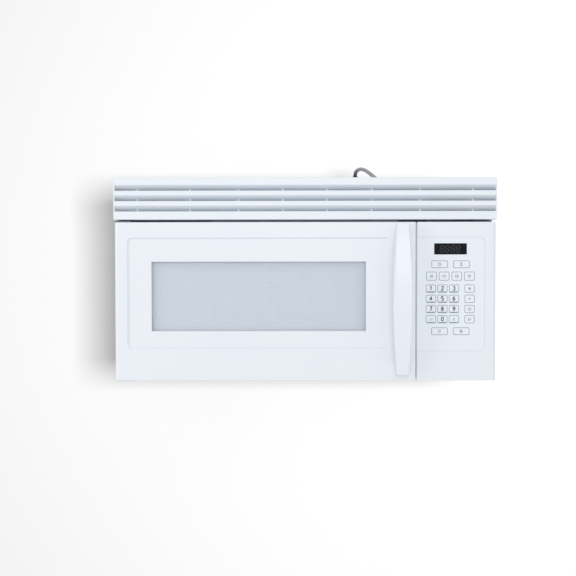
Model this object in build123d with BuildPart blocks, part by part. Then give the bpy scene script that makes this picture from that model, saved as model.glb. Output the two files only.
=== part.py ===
"""Over-the-range microwave oven with a vent hood, in millimetres.

+X is to the right of someone facing the door, +Y points into the wall behind the oven and +Z is up.
The origin is under the middle of the whole object, in the plane of the base pan. The oven hangs from
the wall and from the cabinet over it, and it can stand on its base.
"""

import os
from math import cos, pi, radians, sin, sqrt, tan

from build123d import *

os.makedirs("parts", exist_ok=True)

# ------------------------------------------------------------------ driving dimensions
width = 759.0  # across the vent grille, the widest piece
height = 405.0  # from the base pan to the top of the vent grille
case_depth = 352.0  # from the front plate to the wall
seal_gap = 1.5  # between the shut door and the front plate
door_thickness = 40.0
handle_proud = 44.0  # front of the handle, ahead of the door
sheet = 1.0  # steel sheet of the case, the plates and the oven cavity
moulding = 2.5  # plastic wall of the door frame, control housing and grille
loose = 0.3  # gap between pieces that are fitted by hand
running = 0.08  # radial gap of a pin or shaft in its bore

depth = case_depth + seal_gap + door_thickness + handle_proud
y_wall = depth / 2
y_plate = y_wall - case_depth
y_door_back = y_plate - seal_gap
y_front = y_door_back - door_thickness

# sheet-metal case
case_half = width / 2 - 1.0
case_top = height - 2.0
case_corner = 3.0

# door and control panel, side by side below the grille
side_inset = 1.5
grille_height = 83.0
grille_foot = height - grille_height
head_gap = 5.0  # between the door's top and the grille
door_foot = 2.5  # the door's lower edge, above the base
door_top = grille_foot - head_gap
door_height = door_top - door_foot
panel_width = 156.5
panel_right = width / 2 - side_inset
panel_left = panel_right - panel_width
door_split = 2.5  # between the door and the control panel
door_left = -width / 2 + side_inset
door_right = panel_left - door_split
door_width = door_right - door_left
edge_round = 8.0  # outer upright edges of the door and the panel
edge_ease = 1.2  # the other edges
recess_depth = 3.5  # sunk field round the window
recess_x = (door_left + 24.8, door_right - 54.9)
recess_z = (door_foot + 63.4, door_top - 30.4)
recess_corner = 10.0
recess_slope = 3.0
recess_ramp = 28.0  # the gentle slope at the handle's side
window_left = 48.1  # from each edge of the sunk field to the window
window_right = 43.6
window_sill = 34.9
window_head = 48.0
window_x = (recess_x[0] + window_left, recess_x[1] - window_right)
window_z = (recess_z[0] + window_sill, recess_z[1] - window_head)

# oven cavity
cavity_inset = 37.0  # inside the door's left edge, and below its top
latch_side = 43.0  # from the cavity to the door's right edge
cavity_rear = 33.0  # air space behind the cavity
cavity_x = (door_left + cavity_inset, door_right - latch_side)
cavity_z = (42.0, door_top - cavity_inset)
cavity_depth = case_depth - sheet - cavity_rear
cavity_corner = 9.0
cavity_mid = (cavity_x[0] + cavity_x[1]) / 2
y_cavity = y_plate + sheet  # open end of the cavity's walls
y_cavity_back = y_cavity + cavity_depth
y_cavity_mid = y_cavity + cavity_depth / 2
cavity_side = cavity_x[1] + sheet  # outside of its right wall
cavity_roof = cavity_z[1] + sheet
cavity_under = cavity_z[0] - sheet

# vent grille
slot_start = 14.6  # first slot, below the grille's top
slot_height = 11.3
slot_pitch = 20.4
slot_count = 3
grille_ribs = (44.0, 132.5, 228.5, 333.0)  # each side of the middle
rib_width = 2.5
rib_lap = 4.0  # the ribs stand behind the blades and reach this far under them


def facing(y):
    """Plane seen from the front at y: across is X, up is Z, and it extrudes towards the viewer."""
    return Plane(origin=(0, y, 0), x_dir=(1, 0, 0), z_dir=(0, -1, 0))


def block(x, y, z, mode=Mode.ADD):
    """Add or cut the box between the low and high values on each axis."""
    centre = ((x[0] + x[1]) / 2, (y[0] + y[1]) / 2, (z[0] + z[1]) / 2)
    with Locations(centre):
        Box(abs(x[1] - x[0]), abs(y[1] - y[0]), abs(z[1] - z[0]), mode=mode)


def drill(centre, axis, radius, length, mode=Mode.SUBTRACT):
    """Cut, or add, a round bar of this length with its middle at centre."""
    with Locations(Plane(origin=centre, z_dir=axis)):
        Cylinder(radius, length, mode=mode)


def panel_sketch(x, z, corner=0.0):
    """Rectangle on a facing plane between two X and two Z values."""
    with Locations(((x[0] + x[1]) / 2, (z[0] + z[1]) / 2)):
        if corner > 0:
            RectangleRounded(x[1] - x[0], z[1] - z[0], corner)
        else:
            Rectangle(x[1] - x[0], z[1] - z[0])


def grow(span, by):
    """The span made longer by this much at both ends."""
    return (span[0] - by, span[1] + by)


def about(middle, size):
    """The span of this size about its middle."""
    return (middle - size / 2, middle + size / 2)


# ------------------------------------------------------------------ sheet-metal case
cord_x = 113.5  # where the cord leaves the case
cord_y = y_front + 200.0
cord_hole = 11.0
hanger_spacing = 560.0  # bolts through the floor of the cabinet above
hanger_y = y_plate + 46.0
hanger_radius = 3.2
hanger_length = 7.0  # tapped collar under the top
duct_width = 254.0  # exhaust opening in the top
duct_length = 82.6
duct_y = y_wall - 36.0 - duct_length / 2
tab_length = 14.0  # grille tabs that lie on the case
tab_inset = 79.5
tab_xs = (tab_inset - width / 2, 0.0, width / 2 - tab_inset)
tab_screw_y = y_plate + tab_length / 2
screw_radius = 2.0

with BuildPart() as outer_case:
    with BuildSketch(facing(y_plate)) as wrap:
        with Locations((0, (sheet + case_top) / 2)):
            Rectangle(2 * case_half, case_top - sheet)
        fillet(wrap.vertices().group_by(Axis.Y)[-1], case_corner)
        with Locations((0, (case_top - sheet) / 2)):
            Rectangle(2 * (case_half - sheet), case_top - sheet, mode=Mode.SUBTRACT)
    extrude(amount=-case_depth)
    for x in (-hanger_spacing / 2, hanger_spacing / 2):
        collar = (x, hanger_y, case_top - hanger_length / 2)
        drill(collar, (0, 0, 1), hanger_radius + 1.8, hanger_length, Mode.ADD)
        drill(collar, (0, 0, 1), hanger_radius, hanger_length)
    drill((cord_x, cord_y, case_top), (0, 0, 1), cord_hole, 4 * sheet)
    for x in tab_xs:
        drill((x, tab_screw_y, case_top), (0, 0, 1), screw_radius + running, 4 * sheet)
    block(about(0, duct_width), about(duct_y, duct_length), (case_top - 2, case_top + 1), Mode.SUBTRACT)
outer_case.part.label = "outer_case"
export_step(outer_case.part, "parts/outer_case.step")

cover_lap = 12.0  # blanking plate beyond the exhaust opening
with BuildPart() as exhaust_cover:
    block(
        about(0, duct_width + 2 * cover_lap),
        about(duct_y, duct_length + 2 * cover_lap),
        (case_top, case_top + sheet),
    )
    block(
        about(0, duct_width - 2 * loose),
        about(duct_y, duct_length - 2 * loose),
        (case_top - sheet, case_top),
    )
exhaust_cover.part.label = "exhaust_cover"
export_step(exhaust_cover.part, "parts/exhaust_cover.step")

# rear panel, with the slots that hook over the wall plate
rear_return = 15.0
hook_spacing = 560.0
hook_length = 36.0
hook_radius = 4.0
hook_z = 26.0
case_inner = case_half - sheet
with BuildPart() as rear_panel:
    with BuildSketch(Plane.XY.offset(sheet)):
        with Locations((0, y_wall - (sheet + rear_return) / 2)):
            Rectangle(2 * case_inner, sheet + rear_return)
        with Locations((0, y_wall - sheet - rear_return / 2)):
            Rectangle(2 * (case_inner - sheet), rear_return, mode=Mode.SUBTRACT)
    extrude(amount=case_top - 2 * sheet)
    with BuildSketch(facing(y_wall)):
        with Locations((-hook_spacing / 2, hook_z), (hook_spacing / 2, hook_z)):
            SlotOverall(hook_length, 2 * hook_radius)
    extrude(amount=sheet, mode=Mode.SUBTRACT)
rear_panel.part.label = "rear_panel"
export_step(rear_panel.part, "parts/rear_panel.step")

# ------------------------------------------------------------------ base pan
pan_upstand = 14.0
filter_margin = 38.5  # from the side of the case to a grease filter
filter_split = 80.0  # between the two
filter_length = case_half - filter_margin - filter_split / 2
filter_width = 145.0
filter_thickness = 6.0
filter_x = (filter_split + filter_length) / 2  # middle of each, each side
filter_rear = y_wall - 52.0  # lip that the filter's tabs hang on
lens_length = 118.0
lens_width = 66.0
lens_rear = y_plate + 96.0
lip_gap = 2.0  # rear gap of a cover that swings down
hatch_gap = 0.5  # gap at its other sides
bracket_length = 32.0  # hinge bracket leaves
bracket_x = (-case_inner + 0.5, -case_inner + 0.5 + bracket_length)
bracket_thick = 2.0


def hatch(middle, length, rear, width_):
    """Opening in the base for a cover that hangs on its rear lip: its X and Y spans."""
    return (
        about(middle, length + 2 * hatch_gap),
        (rear - lip_gap - width_ - hatch_gap, rear),
    )


base_hatches = [
    hatch(-filter_x, filter_length, filter_rear, filter_width),
    hatch(filter_x, filter_length, filter_rear, filter_width),
    hatch(0.0, lens_length, lens_rear, lens_width),
]
with BuildPart() as base_pan:
    block((-case_half, case_half), (y_cavity, y_wall), (0, sheet))
    for side in (-1, 1):
        inner = side * (case_inner - sheet)
        outer = side * case_inner
        upstand_x = (min(inner, outer), max(inner, outer))
        block(upstand_x, (y_cavity, y_wall - sheet - rear_return - loose), (sheet, pan_upstand))
    block((-case_inner, case_inner), (y_cavity, y_cavity + sheet), (sheet, pan_upstand))
    notch_y = (y_cavity, y_cavity + bracket_thick + loose)
    block((-case_half, bracket_x[1] + loose), notch_y, (0, pan_upstand), Mode.SUBTRACT)
    for opening_x, opening_y in base_hatches:
        block(opening_x, opening_y, (0, sheet), Mode.SUBTRACT)
base_pan.part.label = "base_pan"
export_step(base_pan.part, "parts/base_pan.step")

# ------------------------------------------------------------------ front plate of the chassis
plate_foot = bracket_thick + 0.2
plate_top = door_top + 0.4
filter_shelf = 26.0  # turned-back top edge that carries the charcoal filter
charcoal_length = 380.0
latch_x = door_right - 10.0
hook_zs = (cavity_z[0] + 50.0, cavity_z[1] - 54.0)
hook_height = 8.0
hook_width = 4.0
latch_lift = 4.5
barb_drop = 4.0
plate_slot_x = about(latch_x, 10.0)
wire_opening_x = (panel_left + 28.5, panel_right - 16.0)
wire_opening_z = (40.0, door_top - 27.0)
with BuildPart() as front_plate:
    block((-case_inner, case_inner), (y_plate, y_cavity), (plate_foot, plate_top))
    block(about(0, charcoal_length + 20), (y_cavity, y_cavity + filter_shelf), (plate_top - sheet, plate_top))
    with BuildSketch(facing(y_cavity)):
        panel_sketch(cavity_x, cavity_z, cavity_corner)
        panel_sketch(wire_opening_x, wire_opening_z, 6.0)
        for hook_z_low in hook_zs:
            panel_sketch(
                plate_slot_x,
                (hook_z_low - 0.6, hook_z_low + hook_height + latch_lift + 1.0),
            )
    extrude(amount=sheet, mode=Mode.SUBTRACT)
front_plate.part.label = "front_plate"
export_step(front_plate.part, "parts/front_plate.step")

# ------------------------------------------------------------------ oven cavity
track_hole = 8.0  # for the turntable's drive
feed_y = y_cavity + 165.0  # middle of the microwave feed
feed_z = cavity_z[0] + 108.0
feed_width = 70.0
feed_height = 56.0
perforation = 2.0
vent_slot = (34.0, 4.0)
lamp_z = cavity_z[1] - 44.0
lamp_y = y_cavity + 70.0
with BuildPart() as cavity_liner:
    with BuildSketch(facing(y_cavity)):
        panel_sketch(grow(cavity_x, sheet), grow(cavity_z, sheet), cavity_corner + sheet)
    extrude(amount=-(cavity_depth + sheet))
    with BuildSketch(facing(y_cavity)):
        panel_sketch(cavity_x, cavity_z, cavity_corner)
    extrude(amount=-cavity_depth, mode=Mode.SUBTRACT)
    drill((cavity_mid, y_cavity_mid, cavity_z[0]), (0, 0, 1), track_hole, 4 * sheet)
    block(
        (cavity_x[1] - 1, cavity_side + 1),
        about(feed_y, feed_width),
        about(feed_z, feed_height),
        Mode.SUBTRACT,
    )
    with Locations(Plane(origin=(cavity_side - sheet / 2, lamp_y, lamp_z), z_dir=(1, 0, 0))):
        with GridLocations(9, 9, 3, 3):
            Cylinder(perforation, 2 * sheet, mode=Mode.SUBTRACT)
    with BuildSketch(Plane(origin=(cavity_x[0], lamp_y, lamp_z), x_dir=(0, 1, 0), z_dir=(1, 0, 0))):
        with GridLocations(0, 10, 1, 4):
            SlotOverall(*vent_slot)
    extrude(amount=-2 * sheet, mode=Mode.SUBTRACT)
cavity_liner.part.label = "cavity_liner"
export_step(cavity_liner.part, "parts/cavity_liner.step")

guide_depth = 32.0  # waveguide, across
guide_y = about(feed_y, feed_width + 24)
guide_z = about(feed_z, feed_height + 30)
antenna_hole = 13.0
with BuildPart() as waveguide:
    block((cavity_side, cavity_side + guide_depth), guide_y, guide_z)
    block(
        (cavity_side, cavity_side + guide_depth - sheet),
        grow(guide_y, -sheet),
        grow(guide_z, -sheet),
        Mode.SUBTRACT,
    )
    drill((cavity_side + guide_depth, feed_y, feed_z), (1, 0, 0), antenna_hole, 4 * sheet)
waveguide.part.label = "waveguide"
export_step(waveguide.part, "parts/waveguide.step")

mica = 0.8
with BuildPart() as waveguide_cover:
    block((cavity_x[1] - mica, cavity_x[1]), about(feed_y, feed_width + 20), about(feed_z, feed_height + 16))
waveguide_cover.part.label = "waveguide_cover"
export_step(waveguide_cover.part, "parts/waveguide_cover.step")

# ------------------------------------------------------------------ vent grille
grille_side = 2.2
louvre_face = 2.2
louvre_depth = 13.0
louvre_wall = 1.6
louvre_drop = slot_height - 1.2  # a thin dark line stays open under each sloping blade
y_grille_back = y_plate
with BuildPart() as vent_grille:
    block((-width / 2, width / 2), (y_front, y_grille_back), (grille_foot, height))
    front_long = vent_grille.edges().filter_by(Axis.X).sort_by(Axis.Y)[:2]
    fillet(front_long, 1.5)
    block(
        grow((-width / 2, width / 2), -grille_side),
        (y_front + louvre_face, y_grille_back),
        (grille_foot + moulding, height - moulding),
        Mode.SUBTRACT,
    )
    for row in range(slot_count):
        slot_top = height - slot_start - row * slot_pitch
        block(
            grow((-width / 2, width / 2), -grille_side),
            (y_front, y_front + louvre_face),
            (slot_top - slot_height, slot_top),
            Mode.SUBTRACT,
        )
        with BuildSketch(Plane.YZ.offset(-width / 2 + grille_side)):
            with BuildLine():
                Polyline(
                    (y_front, slot_top),
                    (y_front + louvre_depth, slot_top - louvre_drop),
                    (y_front + louvre_depth, slot_top - louvre_drop + louvre_wall),
                    (y_front + louvre_face, slot_top + louvre_wall),
                    (y_front, slot_top + louvre_wall),
                    close=True,
                )
            make_face()
        extrude(amount=width - 2 * grille_side)
    for rib in grille_ribs:
        for rib_x in (-rib, rib):
            block(
                about(rib_x, rib_width),
                (y_front + louvre_depth - rib_lap, y_front + louvre_depth + 6),
                (grille_foot + moulding, height - moulding),
            )
    for x in tab_xs:
        block(about(x, 24.0), (y_grille_back - 6, y_plate + tab_length), (case_top, height - 0.2))
        drill((x, tab_screw_y, case_top + 1), (0, 0, 1), screw_radius + running, 6.0)
vent_grille.part.label = "vent_grille"
export_step(vent_grille.part, "parts/vent_grille.step")

screw_head = 4.0
head_height = 1.8
screw_grip = 8.0
with BuildPart() as case_screws:
    for x in tab_xs:
        tab_face = height - 0.2
        shank_middle = (x, tab_screw_y, tab_face - screw_grip / 2)
        drill(shank_middle, (0, 0, 1), screw_radius, screw_grip, Mode.ADD)
        drill((x, tab_screw_y, tab_face + head_height / 2), (0, 0, 1), screw_head, head_height, Mode.ADD)
case_screws.part.label = "case_screws"
export_step(case_screws.part, "parts/case_screws.step")

# charcoal filter, standing behind the grille on the front plate's turned edge
charcoal_height = 76.0
charcoal_thick = 18.0
charcoal_columns = 12  # cells along
charcoal_rows = 3
cell_wall = 2.2
y_charcoal = y_cavity + 3.0
with BuildPart() as charcoal_filter:
    block(
        about(0, charcoal_length),
        (y_charcoal, y_charcoal + charcoal_thick),
        (plate_top, plate_top + charcoal_height),
    )
    cell_x = (charcoal_length - cell_wall) / charcoal_columns
    cell_z = (charcoal_height - cell_wall) / charcoal_rows
    with BuildSketch(facing(y_charcoal)):
        with Locations((0, plate_top + charcoal_height / 2)):
            with GridLocations(cell_x, cell_z, charcoal_columns, charcoal_rows):
                Rectangle(cell_x - cell_wall, cell_z - cell_wall)
    extrude(amount=-4.0, mode=Mode.SUBTRACT)
charcoal_filter.part.label = "charcoal_filter"
export_step(charcoal_filter.part, "parts/charcoal_filter.step")

# ------------------------------------------------------------------ control housing and its face
panel_recess = 1.5
panel_recess_right = panel_left + 134.1
panel_recess_z = (door_top - 256.1, door_top - 29.8)
panel_corner = 12.0
housing_wall = 4.0
split_lip = 1.2  # closes part of the split behind its mouth, clear of the door's swing
film = 0.5
display_width = 64.0
display_height = 21.6
display_z = door_top - 53.5
keypad_x = panel_left + 66.1  # middle of the keys and the display
panel_x = (panel_left, panel_right)
panel_z = (door_foot, door_top)


with BuildPart() as control_housing:
    with BuildSketch(Plane.XY.offset(door_foot)) as plan:
        with Locations(((panel_left + panel_right) / 2, (y_front + y_plate) / 2)):
            Rectangle(panel_right - panel_left, y_plate - y_front)
        fillet(plan.vertices().group_by(Axis.Y)[0].sort_by(Axis.X)[-1], edge_round)
        fillet(plan.vertices().sort_by(lambda v: v.X + v.Y)[0], edge_ease)
    extrude(amount=door_height)
    fillet(control_housing.edges().filter_by(Axis.X).sort_by(Axis.Y)[:2], edge_ease)
    block(
        grow(panel_x, -moulding),
        (y_front + housing_wall, y_plate),
        grow(panel_z, -moulding),
        Mode.SUBTRACT,
    )
    with BuildSketch(facing(y_front)) as field:
        panel_sketch((panel_left - 5, panel_recess_right), panel_recess_z)
        fillet(field.vertices().group_by(Axis.X)[-1], panel_corner)
    extrude(amount=-panel_recess, mode=Mode.SUBTRACT)
    with BuildSketch(facing(y_front)):
        panel_sketch(
            about(keypad_x, display_width + 2 * loose),
            about(display_z, display_height + 2 * loose),
        )
    extrude(amount=-housing_wall, mode=Mode.SUBTRACT)
    block(
        (panel_left - split_lip, panel_left + 1),
        (y_front + 5.0, y_front + 5.0 + moulding),
        grow(panel_z, -moulding),
    )
control_housing.part.label = "control_housing"
export_step(control_housing.part, "parts/control_housing.step")

# one film with every key raised in it
wide_key = (32.5, 15.0)
square_key = (20.7, 17.6)
number_key = (20.0, 16.0)
key_rise = 0.35
key_corner = 1.6
number_pitch = (22.85, 20.25)
number_x = keypad_x - 15.75  # middle column of the number block
number_z = door_top - 132.1  # its top row
side_key_x = keypad_x + 38.0
number_rows = 4
key_rows = [
    (wide_key, [(keypad_x - 21.5, door_top - 83.9), (keypad_x + 21.5, door_top - 83.9)]),
    (square_key, [(keypad_x + 25.0 * (k - 1.5), door_top - 107.4) for k in range(4)]),
    (
        number_key,
        [
            (number_x + number_pitch[0] * column, number_z - number_pitch[1] * row)
            for row in range(number_rows)
            for column in (-1, 0, 1)
        ]
        + [(side_key_x, number_z - number_pitch[1] * row) for row in range(number_rows)],
    ),
    (wide_key, [(keypad_x - 21.5, door_top - 216.6), (keypad_x + 21.5, door_top - 216.6)]),
]
y_film = y_front + panel_recess - film
with BuildPart() as keypad_membrane:
    with BuildSketch(facing(y_film + film)) as sheet_outline:
        panel_sketch((panel_left + 2, panel_recess_right - loose), grow(panel_recess_z, -loose))
        fillet(sheet_outline.vertices().group_by(Axis.X)[-1], panel_corner - loose)
        panel_hole_x = about(keypad_x, display_width + 2 * loose)
        panel_hole_z = about(display_z, display_height + 2 * loose)
        with Locations((keypad_x, display_z)):
            Rectangle(
                panel_hole_x[1] - panel_hole_x[0],
                panel_hole_z[1] - panel_hole_z[0],
                mode=Mode.SUBTRACT,
            )
    extrude(amount=film)
    for key_size, places in key_rows:
        with BuildSketch(facing(y_film)):
            with Locations(*places):
                pads = Rectangle(key_size[0], key_size[1])
            chamfer(pads.vertices(), key_corner)
        extrude(amount=key_rise)
keypad_membrane.part.label = "keypad_membrane"
export_step(keypad_membrane.part, "parts/keypad_membrane.step")

lens_lip = 3.0
with BuildPart() as display_lens:
    with BuildSketch(facing(y_film + 0.1)):
        panel_sketch(about(keypad_x, display_width), about(display_z, display_height))
    extrude(amount=-(y_front + housing_wall - y_film - 0.1))
    with BuildSketch(facing(y_front + housing_wall)):
        panel_sketch(
            about(keypad_x, display_width + 2 * lens_lip),
            about(display_z, display_height + 2 * lens_lip),
        )
    extrude(amount=-1.5)
display_lens.part.label = "display_lens"
export_step(display_lens.part, "parts/display_lens.step")

# display behind the lens, carried by the control board
board_x = (panel_left + 14.0, panel_right - 12.0)
board_z = (door_top - 247.0, door_top - 17.0)
board_thick = 1.6
y_board = y_front + 20.0
module_y = (y_front + housing_wall + 2.0, y_board)
with BuildPart() as display_module:
    block(about(keypad_x, display_width - 2), module_y, about(display_z, display_height + 2))
display_module.part.label = "display_module"
export_step(display_module.part, "parts/display_module.step")

board_posts = [(x, z) for x in (board_x[0] + 4, board_x[1] - 4) for z in (board_z[0] + 4, board_z[1] - 4)]
with BuildPart() as control_board:
    block(board_x, (y_board, y_board + board_thick), board_z)
    for x, z in board_posts:
        post_middle = (x, (y_front + housing_wall + y_board) / 2, z)
        drill(post_middle, (0, 1, 0), 3.0, y_board - y_front - housing_wall, Mode.ADD)
    y_solder = y_board + board_thick
    block(about(keypad_x - 20, 34), (y_solder, y_solder + 14), about(board_z[0] + 40, 40))  # supply transformer
    for relay in range(3):
        block(about(keypad_x + 30, 16), (y_solder, y_solder + 12), about(board_z[0] + 30 + 26 * relay, 20))
    drill((keypad_x - 26, y_solder + 5, board_z[0] + 100), (0, 1, 0), 7.0, 10.0, Mode.ADD)  # capacitor
    block(about(keypad_x, 60), (y_solder, y_solder + 6), about(board_z[1] - 20, 8))  # connector
control_board.part.label = "control_board"
export_step(control_board.part, "parts/control_board.step")

# ------------------------------------------------------------------ door
y_window = y_front + recess_depth + moulding  # back of the sunk field, where the pane lies
pane = 3.0
pane_lap = 10.0
choke_floor = y_front + 21.0  # front of the choke channel's floor
cover_thick = 1.5
y_land = y_door_back - cover_thick  # where the choke cover lies on the steel pan
land_x = grow(cavity_x, 2.0)
land_z = grow(cavity_z, 2.0)
channel = 24.0
rim_x = grow(land_x, channel)
rim_z = (land_z[0] - channel, land_z[1] + channel)
pane_x = grow(window_x, pane_lap)
pane_z = grow(window_z, pane_lap)
window_middle = ((window_x[0] + window_x[1]) / 2, (window_z[0] + window_z[1]) / 2)
hinge_x = door_left + 8.0
hinge_y = y_door_back - 28.0
pin_radius = 2.5
pin_reach = 14.0  # into the door
boss_radius = 6.5
handle_x = door_right - 28.7
handle_z = (door_foot + 14.5, door_top - 4.0)
foot_height = 22.0
handle_screw_zs = (handle_z[0] + foot_height / 2, handle_z[1] - foot_height / 2)
handle_screw = 2.2
spring_length = 20.0
bar_z = (hook_zs[0] - 20.0, hook_zs[1] + 26.0)
spring_top = bar_z[1] + spring_length

with BuildPart() as door_frame:
    with BuildSketch(Plane.XY.offset(door_foot)) as plan:
        with Locations(((door_left + door_right) / 2, (y_front + y_door_back) / 2)):
            Rectangle(door_width, door_thickness)
        fillet(plan.vertices().group_by(Axis.Y)[0].sort_by(Axis.X)[0], edge_round)
        fillet(plan.vertices().sort_by(lambda v: v.Y - v.X)[0], edge_ease)
    extrude(amount=door_height)
    fillet(door_frame.edges().filter_by(Axis.X).sort_by(Axis.Y)[:2], edge_ease)
    with BuildSketch(Plane.XY.offset(door_foot + moulding)) as hollow:
        with Locations(((door_left + door_right) / 2, (y_front + moulding + y_door_back) / 2)):
            Rectangle(door_width - 2 * moulding, door_thickness - moulding)
        fillet(hollow.vertices().group_by(Axis.Y)[0].sort_by(Axis.X)[0], edge_round - moulding)
    extrude(amount=door_height - 2 * moulding, mode=Mode.SUBTRACT)
    # the sunk field, and the same step on the inside
    block(
        grow(recess_x, moulding),
        (y_front + moulding, y_window),
        grow(recess_z, moulding),
    )
    with BuildSketch(facing(y_front)) as field_mouth:
        panel_sketch(recess_x, recess_z)
        fillet(field_mouth.vertices().group_by(Axis.X)[0], recess_corner)
    with BuildSketch(facing(y_front + recess_depth)) as field_floor:
        panel_sketch(
            (recess_x[0] + recess_slope, recess_x[1] - recess_ramp),
            grow(recess_z, -recess_slope),
        )
        fillet(field_floor.vertices().group_by(Axis.X)[0], recess_corner - recess_slope)
    loft(mode=Mode.SUBTRACT)
    with BuildSketch(facing(y_window)):
        panel_sketch(window_x, window_z)
    extrude(amount=recess_depth + moulding, mode=Mode.SUBTRACT)
    # moulded bosses: hinge pins, seats of the steel pan and the latch spring's stop
    for low, high in ((door_foot, door_foot + pin_reach + 4), (door_top - pin_reach - 4, door_top)):
        middle = (hinge_x, hinge_y, (low + high) / 2)
        drill(middle, (0, 0, 1), boss_radius, high - low, Mode.ADD)
        drill(middle, (0, 0, 1), pin_radius + running, high - low + 1)
    for x in (rim_x[0] + channel / 2, rim_x[1] - channel / 2):
        for z in (window_z[0] - 31.0, window_z[1] + 31.0):
            seat_middle = (x, (y_front + moulding + choke_floor) / 2, z)
            drill(seat_middle, (0, 1, 0), 4.0, choke_floor - y_front - moulding, Mode.ADD)
    block((latch_x - 5, door_right - moulding), (y_front + moulding, y_land), (spring_top, spring_top + 3))
    for z in handle_screw_zs:
        drill((handle_x, y_front, z), (0, 1, 0), handle_screw + running, 4 * moulding)
door_frame.part.label = "door_frame"
export_step(door_frame.part, "parts/door_frame.step")

with BuildPart() as door_window:
    with BuildSketch(facing(y_window)):
        panel_sketch(pane_x, pane_z)
    extrude(amount=-pane)
door_window.part.label = "door_window"
export_step(door_window.part, "parts/door_window.step")

# steel pan: perforated field behind the pane, land at the cavity's mouth and choke channel round it
y_screen = y_window + pane + loose
with BuildPart() as door_screen:
    with BuildSketch(facing(y_land)):
        panel_sketch(rim_x, rim_z)
    extrude(amount=y_land - choke_floor)
    with BuildSketch(facing(y_land)):
        panel_sketch(grow(rim_x, -sheet), grow(rim_z, -sheet))
    extrude(amount=y_land - choke_floor - sheet, mode=Mode.SUBTRACT)
    with BuildSketch(facing(y_land)):
        panel_sketch(land_x, land_z)
    extrude(amount=y_land - choke_floor)
    with BuildSketch(facing(y_land)):
        panel_sketch(pane_x, pane_z)
    extrude(amount=y_land - y_screen)
    with BuildSketch(facing(y_land)):
        panel_sketch(grow(pane_x, -sheet), grow(pane_z, -sheet))
    extrude(amount=y_land - y_screen - sheet, mode=Mode.SUBTRACT)
    # the land is one sheet too: its underside is hollow from the front
    with BuildSketch(facing(y_land - sheet)):
        panel_sketch(grow(land_x, -sheet), grow(land_z, -sheet))
        with Locations(window_middle):
            Rectangle(pane_x[1] - pane_x[0], pane_z[1] - pane_z[0], mode=Mode.SUBTRACT)
    extrude(amount=y_land - sheet - choke_floor, mode=Mode.SUBTRACT)
door_screen.part.label = "door_screen"
export_step(door_screen.part, "parts/door_screen.step")

# cover of the choke channel, with slots for the latch hooks
cover_x = grow((door_left + moulding, door_right - moulding), -loose)
cover_z = grow((door_foot + moulding, door_top - moulding), -loose)
inner_lap = 7.0  # inner window beyond the well, onto the land
well_x = grow(pane_x, inner_lap)
well_z = grow(pane_z, inner_lap)
with BuildPart() as choke_cover:
    with BuildSketch(facing(y_door_back)):
        panel_sketch(cover_x, cover_z, 3.0)
        with Locations(window_middle):
            Rectangle(well_x[1] - well_x[0], well_z[1] - well_z[0], mode=Mode.SUBTRACT)
    extrude(amount=cover_thick)
    for hook_z_low in hook_zs:
        block(
            about(latch_x, hook_width + 2 * loose),
            (y_land, y_door_back),
            (hook_z_low - loose, hook_z_low + hook_height + latch_lift + loose),
            Mode.SUBTRACT,
        )
choke_cover.part.label = "choke_cover"
export_step(choke_cover.part, "parts/choke_cover.step")

with BuildPart() as door_inner_window:
    with BuildSketch(facing(y_land)):
        panel_sketch(grow(well_x, -loose), grow(well_z, -loose))
    extrude(amount=-1.2)
door_inner_window.part.label = "door_inner_window"
export_step(door_inner_window.part, "parts/door_inner_window.step")

# handle: a bowed bar, widest at its middle, on two feet
bar_middle = (handle_z[0] + handle_z[1]) / 2
bar_half = (handle_z[1] - handle_z[0]) / 2
bar_end_proud = 26.0
bar_thick = 15.0
bar_end_width = 23.0
bar_swell = 17.0
facet_end = 21.0
facet_swell = 9.0
bar_stations = 7
with BuildPart() as door_handle:
    for station in range(bar_stations):
        along = 2 * station / (bar_stations - 1) - 1
        belly = 1 - along**2
        y_facet = y_front - bar_end_proud - (handle_proud - bar_end_proud) * belly
        half_facet = (facet_end + facet_swell * belly) / 2
        half_bar = (bar_end_width + bar_swell * belly) / 2
        with BuildSketch(Plane.XY.offset(bar_middle + bar_half * along)):
            with BuildLine():
                Polyline(
                    (handle_x - half_facet, y_facet),
                    (handle_x + half_facet, y_facet),
                    (handle_x + half_bar, y_facet + 5),
                    (handle_x + half_bar - 3, y_facet + bar_thick),
                    (handle_x - half_bar + 3, y_facet + bar_thick),
                    (handle_x - half_bar, y_facet + 5),
                    close=True,
                )
            make_face()
    loft()
    for foot_z in ((handle_z[0], handle_z[0] + foot_height), (handle_z[1] - foot_height, handle_z[1])):
        block(about(handle_x, bar_end_width - 6), (y_front - bar_end_proud + bar_thick - 8, y_front), foot_z)
    for z in handle_screw_zs:
        drill((handle_x, y_front - 7, z), (0, 1, 0), handle_screw + running, 14.0)
door_handle.part.label = "door_handle"
export_step(door_handle.part, "parts/door_handle.step")

with BuildPart() as handle_screws:
    for z in handle_screw_zs:
        drill((handle_x, y_front + moulding - 7.5, z), (0, 1, 0), handle_screw, 15.0, Mode.ADD)
        drill((handle_x, y_front + moulding + 1.5, z), (0, 1, 0), 4.5, 3.0, Mode.ADD)
handle_screws.part.label = "handle_screws"
export_step(handle_screws.part, "parts/handle_screws.step")

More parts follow.
